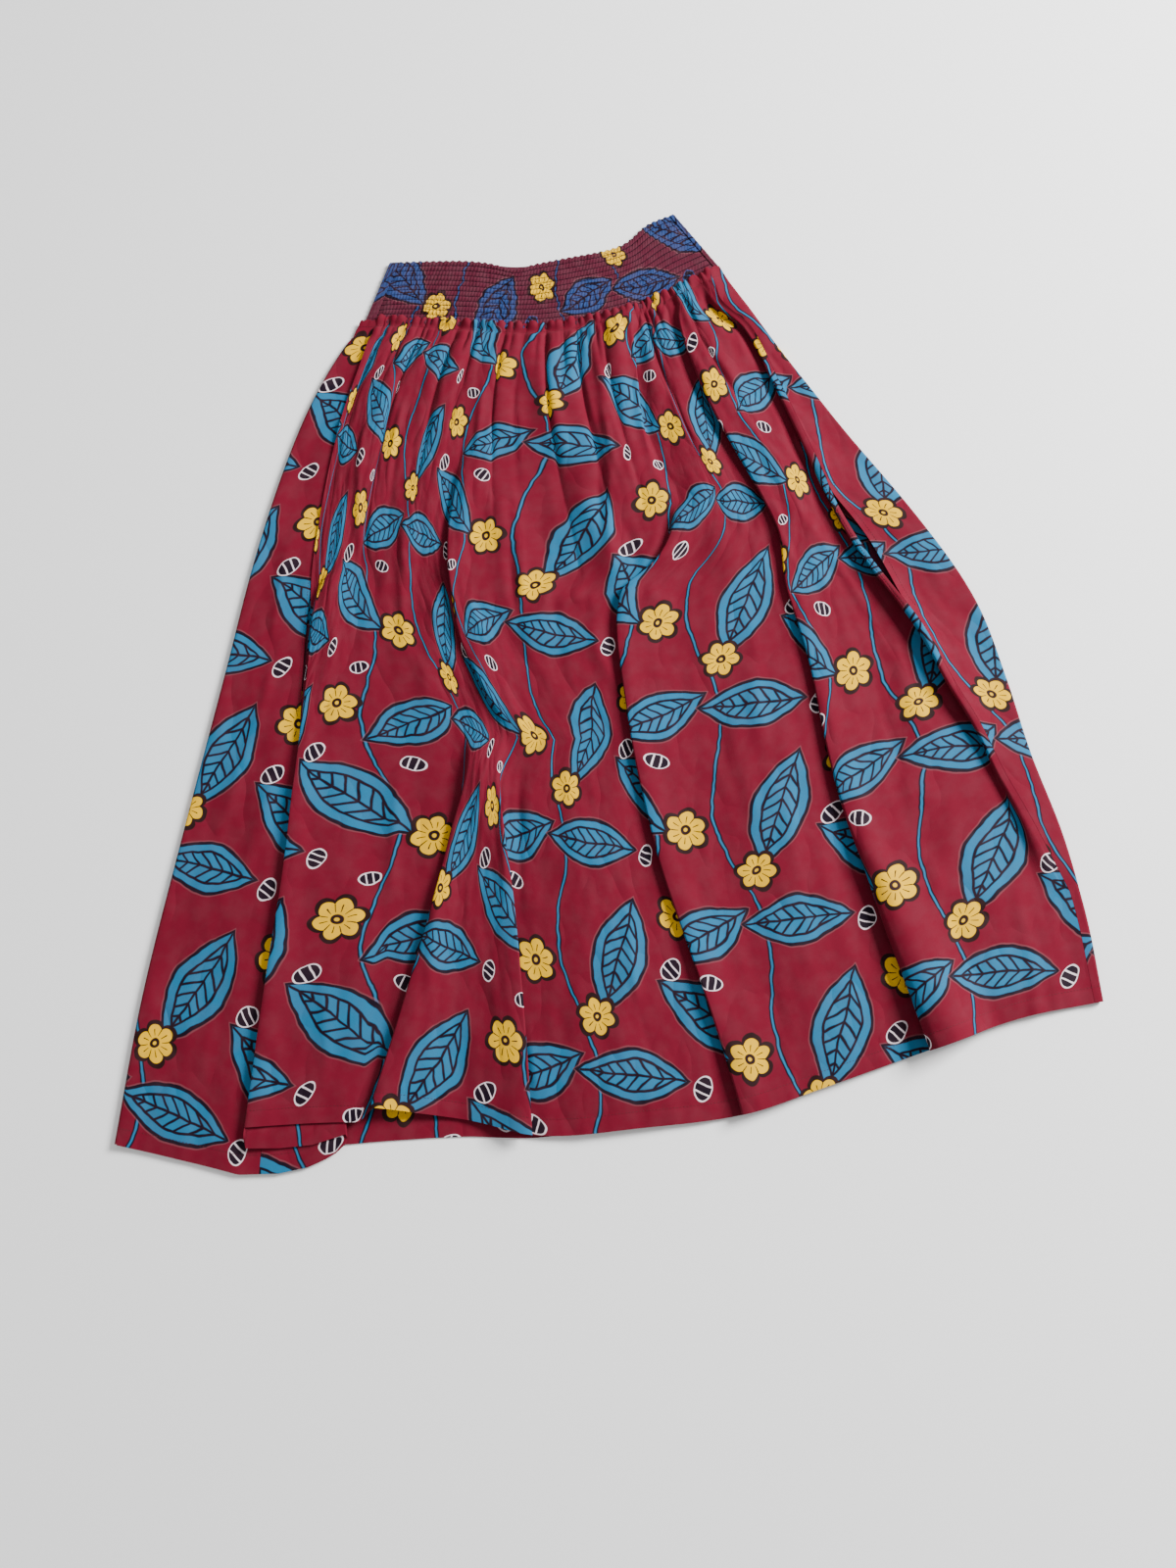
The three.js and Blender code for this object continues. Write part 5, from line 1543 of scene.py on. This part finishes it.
class SKIRT_OT_band_back(bpy.types.Operator):
    """Build the back half of the waistband, which lies underneath"""

    bl_idname = "skirt.band_back"
    bl_label = "Smocked band, back"

    def execute(self, context):
        cloth, colours = context.scene.skirt_cloth, context.scene.skirt_print
        half = BAND_WALL / 2
        edge = BAND_ROLL + half
        middle = half + BAND_ROLL
        turn = np.linspace(math.pi / 2, -math.pi / 2, BACK_BAND_ROLL)
        other = np.linspace(-math.pi / 2, -3 * math.pi / 2, BACK_BAND_ROLL)
        on_left, on_right = BACK_BAND_STRIP["left"], BACK_BAND_STRIP["right"]
        z = np.concatenate([
            np.full(on_right, BAND_FRONT_LEVEL), middle + BAND_ROLL * np.sin(turn),
            np.full(BACK_BAND_FLOOR, half), middle + BAND_ROLL * np.sin(other),
            np.full(on_left, BAND_FRONT_LEVEL),
        ])
        shown = smoothstep(z, *TOP_PUFF[:2])
        hidden = 1 - smoothstep(z, *INSIDE_PUFF[:2])
        outer, inner = [], []
        for up in np.linspace(0, 1, BACK_BAND_ROWS):
            row = band_row(up)
            right, left = row.length - edge, edge
            s = np.concatenate([
                np.linspace(right - BAND_STRIP["right"], right, on_right + 1)[:-1],
                right + BAND_ROLL * np.cos(turn),
                np.linspace(right, left, BACK_BAND_FLOOR + 2)[1:-1],
                left + BAND_ROLL * np.cos(other),
                np.linspace(left, left + BAND_STRIP["left"], on_left + 1)[1:],
            ])
            normals = wall_normals(s, z)
            puff = smocking(s, up, cloth)
            raised = z + normals[:, 1] * (half + puff * shown * TOP_PUFF[2])
            groove = FLOOR_PUFF[0] * np.clip(FLOOR_PUFF[1] - puff, 0, FLOOR_PUFF[2])
            height = np.where(z < 1, groove, np.maximum(raised, 0))
            inside = z - normals[:, 1] * half + puff * hidden * INSIDE_PUFF[2] - BACK_BAND_INSIDE
            outer.append(row.place(s + normals[:, 0] * half, height)[::-1])
            inner.append(row.place(s - normals[:, 0] * half, inside)[::-1])
        uv = grid_map(BAND_CUT[0], (BAND_CUT[1], 0), len(z), BACK_BAND_ROWS)
        piece = wall_mesh("waistband_back_cloth", outer, inner, uv)
        material = band_cotton("back band cotton", colours)
        finish_piece(piece, material, "waistband_back")
        return {"FINISHED"}


# The pocket pieces: how far they reach past their seam and past the ends of their slit, their levels,
# their gentle waves and what of them is mapped
POCKET_REACH = (10, 62)
PAST_ENDS = (0.01, 0.02)
POCKET_LEVELS = (2.75, 2.1)
POCKET_WAVES = [(0.25, 7, 0, 30)]
POCKET_GRID = (25, 31)
POCKET_MAP = (0.072, 0.16)


class SKIRT_OT_pockets(bpy.types.Operator):
    """Build the pocket pieces behind the two side-seam slits"""

    bl_idname = "skirt.pockets"
    bl_label = "Pockets"

    def execute(self, context):
        cloth, colours = context.scene.skirt_cloth, context.scene.skirt_print
        material = printed_cotton("pocket cotton", colours.band_ground, colours.leaf, colours)
        columns, rows = POCKET_GRID
        little, much = POCKET_REACH
        for side, (start, end, _) in POCKET_SLITS.items():
            outer, inner = [], []
            for down in np.linspace(start - PAST_ENDS[0], end + PAST_ENDS[1], rows):
                section = Section(down, cloth, [])
                if side == "left":
                    seam = section.left_seam - SEAM_GAP / 2 - section.slit("left") / 2
                    s = np.linspace(seam - little, seam + much, columns)
                else:
                    seam = section.right_seam + SEAM_GAP / 2 + section.slit("right")
                    s = np.linspace(seam - much, seam + little, columns)
                sag = waves(s, down, POCKET_WAVES)
                for wall, level in zip((outer, inner), POCKET_LEVELS):
                    wall.append(section.row.place(s, level + sag))
            uv = grid_map(POCKET_MAP[0], (0, POCKET_MAP[1]), columns, rows)
            piece = wall_mesh(f"pocket_{side}_cloth", outer, inner, uv)
            finish_piece(piece, material, f"pocket_{side}")
        return {"FINISHED"}


# The floor's size and how far it lies below the skirt. Each light's name, size and place
FLOOR_SIZE = 6
FLOOR_GAP = 0.0003
FLOOR_ROUGHNESS = 0.9
LIGHTS = (("key", 1.3, (2.55, 1.3, 1.95)), ("fill", 2.2, (-1.5, -0.8, 1.9)))


class SKIRT_OT_stage(bpy.types.Operator):
    """Lay the plain floor and set the soft lights"""

    bl_idname = "skirt.stage"
    bl_label = "Stage"

    def execute(self, context):
        settings = context.scene.skirt_stage
        level = CAD_BOX[0][2] - FLOOR_GAP
        bpy.ops.mesh.primitive_plane_add(size=FLOOR_SIZE, location=(0, 0, level))
        floor = context.active_object
        floor.name = "floor"
        material = bpy.data.materials.new("plain floor")
        material.use_nodes = True
        shader = material.node_tree.nodes["Principled BSDF"]
        shader.inputs["Base Color"].default_value = (*settings.floor_colour, 1)
        shader.inputs["Roughness"].default_value = FLOOR_ROUGHNESS
        floor.data.materials.append(material)
        world = context.scene.world or bpy.data.worlds.new("studio")
        context.scene.world = world
        world.use_nodes = True
        background = world.node_tree.nodes["Background"]
        background.inputs["Color"].default_value = (1, 1, 1, 1)
        background.inputs["Strength"].default_value = settings.surround
        powers = (settings.key_power, settings.fill_power)
        for power, (name, size, place) in zip(powers, LIGHTS):
            light = bpy.data.lights.new(name, "AREA")
            light.energy = power
            light.size = size
            lamp = bpy.data.objects.new(name, light)
            lamp.location = place
            lamp.rotation_euler = (-Vector(place)).to_track_quat("-Z", "Y").to_euler()
            context.scene.collection.objects.link(lamp)
        return {"FINISHED"}


# The photograph's focal length and height in pixels, the sensor's size in millimetres, and the
# camera's tilt in degrees and place in metres
PHOTO_FOCAL = 1250
PHOTO_HEIGHT = 1600
SENSOR_WIDTH = 36
CAMERA_TILT = 15
CAMERA_PLACE = (-0.0281, -0.4964, 1.2588)


class SKIRT_OT_camera(bpy.types.Operator):
    """Set the camera at the photograph's place and angle"""

    bl_idname = "skirt.camera"
    bl_label = "Camera"

    def execute(self, context):
        data = bpy.data.cameras.new("camera")
        data.sensor_width = SENSOR_WIDTH
        data.lens = PHOTO_FOCAL / PHOTO_HEIGHT * SENSOR_WIDTH
        camera = bpy.data.objects.new("camera", data)
        camera.location = CAMERA_PLACE
        camera.rotation_euler = (math.radians(CAMERA_TILT), 0, 0)
        context.scene.collection.objects.link(camera)
        context.scene.camera = camera
        return {"FINISHED"}


class SKIRT_PT_sidebar(bpy.types.Panel):
    """Lists the skirt's settings and its pieces"""

    bl_idname = "SKIRT_PT_sidebar"
    bl_label = "Ankara maxi skirt"
    bl_space_type = "VIEW_3D"
    bl_region_type = "UI"
    bl_category = "Skirt"

    def draw(self, context):
        for group in (context.scene.skirt_cloth, context.scene.skirt_print, context.scene.skirt_stage):
            box = self.layout.box()
            for name in group.__annotations__:
                box.prop(group, name)
        for operator in OPERATORS:
            self.layout.operator(operator.bl_idname)


OPERATORS = (
    SKIRT_OT_camera, SKIRT_OT_stage, SKIRT_OT_back_panel, SKIRT_OT_front_panel,
    SKIRT_OT_band_back, SKIRT_OT_band_front, SKIRT_OT_pockets,
)
CLASSES = (SkirtCloth, SkirtPrint, SkirtStage, *OPERATORS, SKIRT_PT_sidebar)


def register():
    for cls in CLASSES:
        bpy.utils.register_class(cls)
    bpy.types.Scene.skirt_cloth = PointerProperty(type=SkirtCloth)
    bpy.types.Scene.skirt_print = PointerProperty(type=SkirtPrint)
    bpy.types.Scene.skirt_stage = PointerProperty(type=SkirtStage)


def unregister():
    del bpy.types.Scene.skirt_stage
    del bpy.types.Scene.skirt_print
    del bpy.types.Scene.skirt_cloth
    for cls in reversed(CLASSES):
        bpy.utils.unregister_class(cls)


def main():
    register()
    bpy.ops.skirt.camera()
    bpy.ops.skirt.stage()
    bpy.ops.skirt.back_panel()
    bpy.ops.skirt.front_panel()
    bpy.ops.skirt.band_back()
    bpy.ops.skirt.band_front()
    bpy.ops.skirt.pockets()


if __name__ == "__main__":
    main()
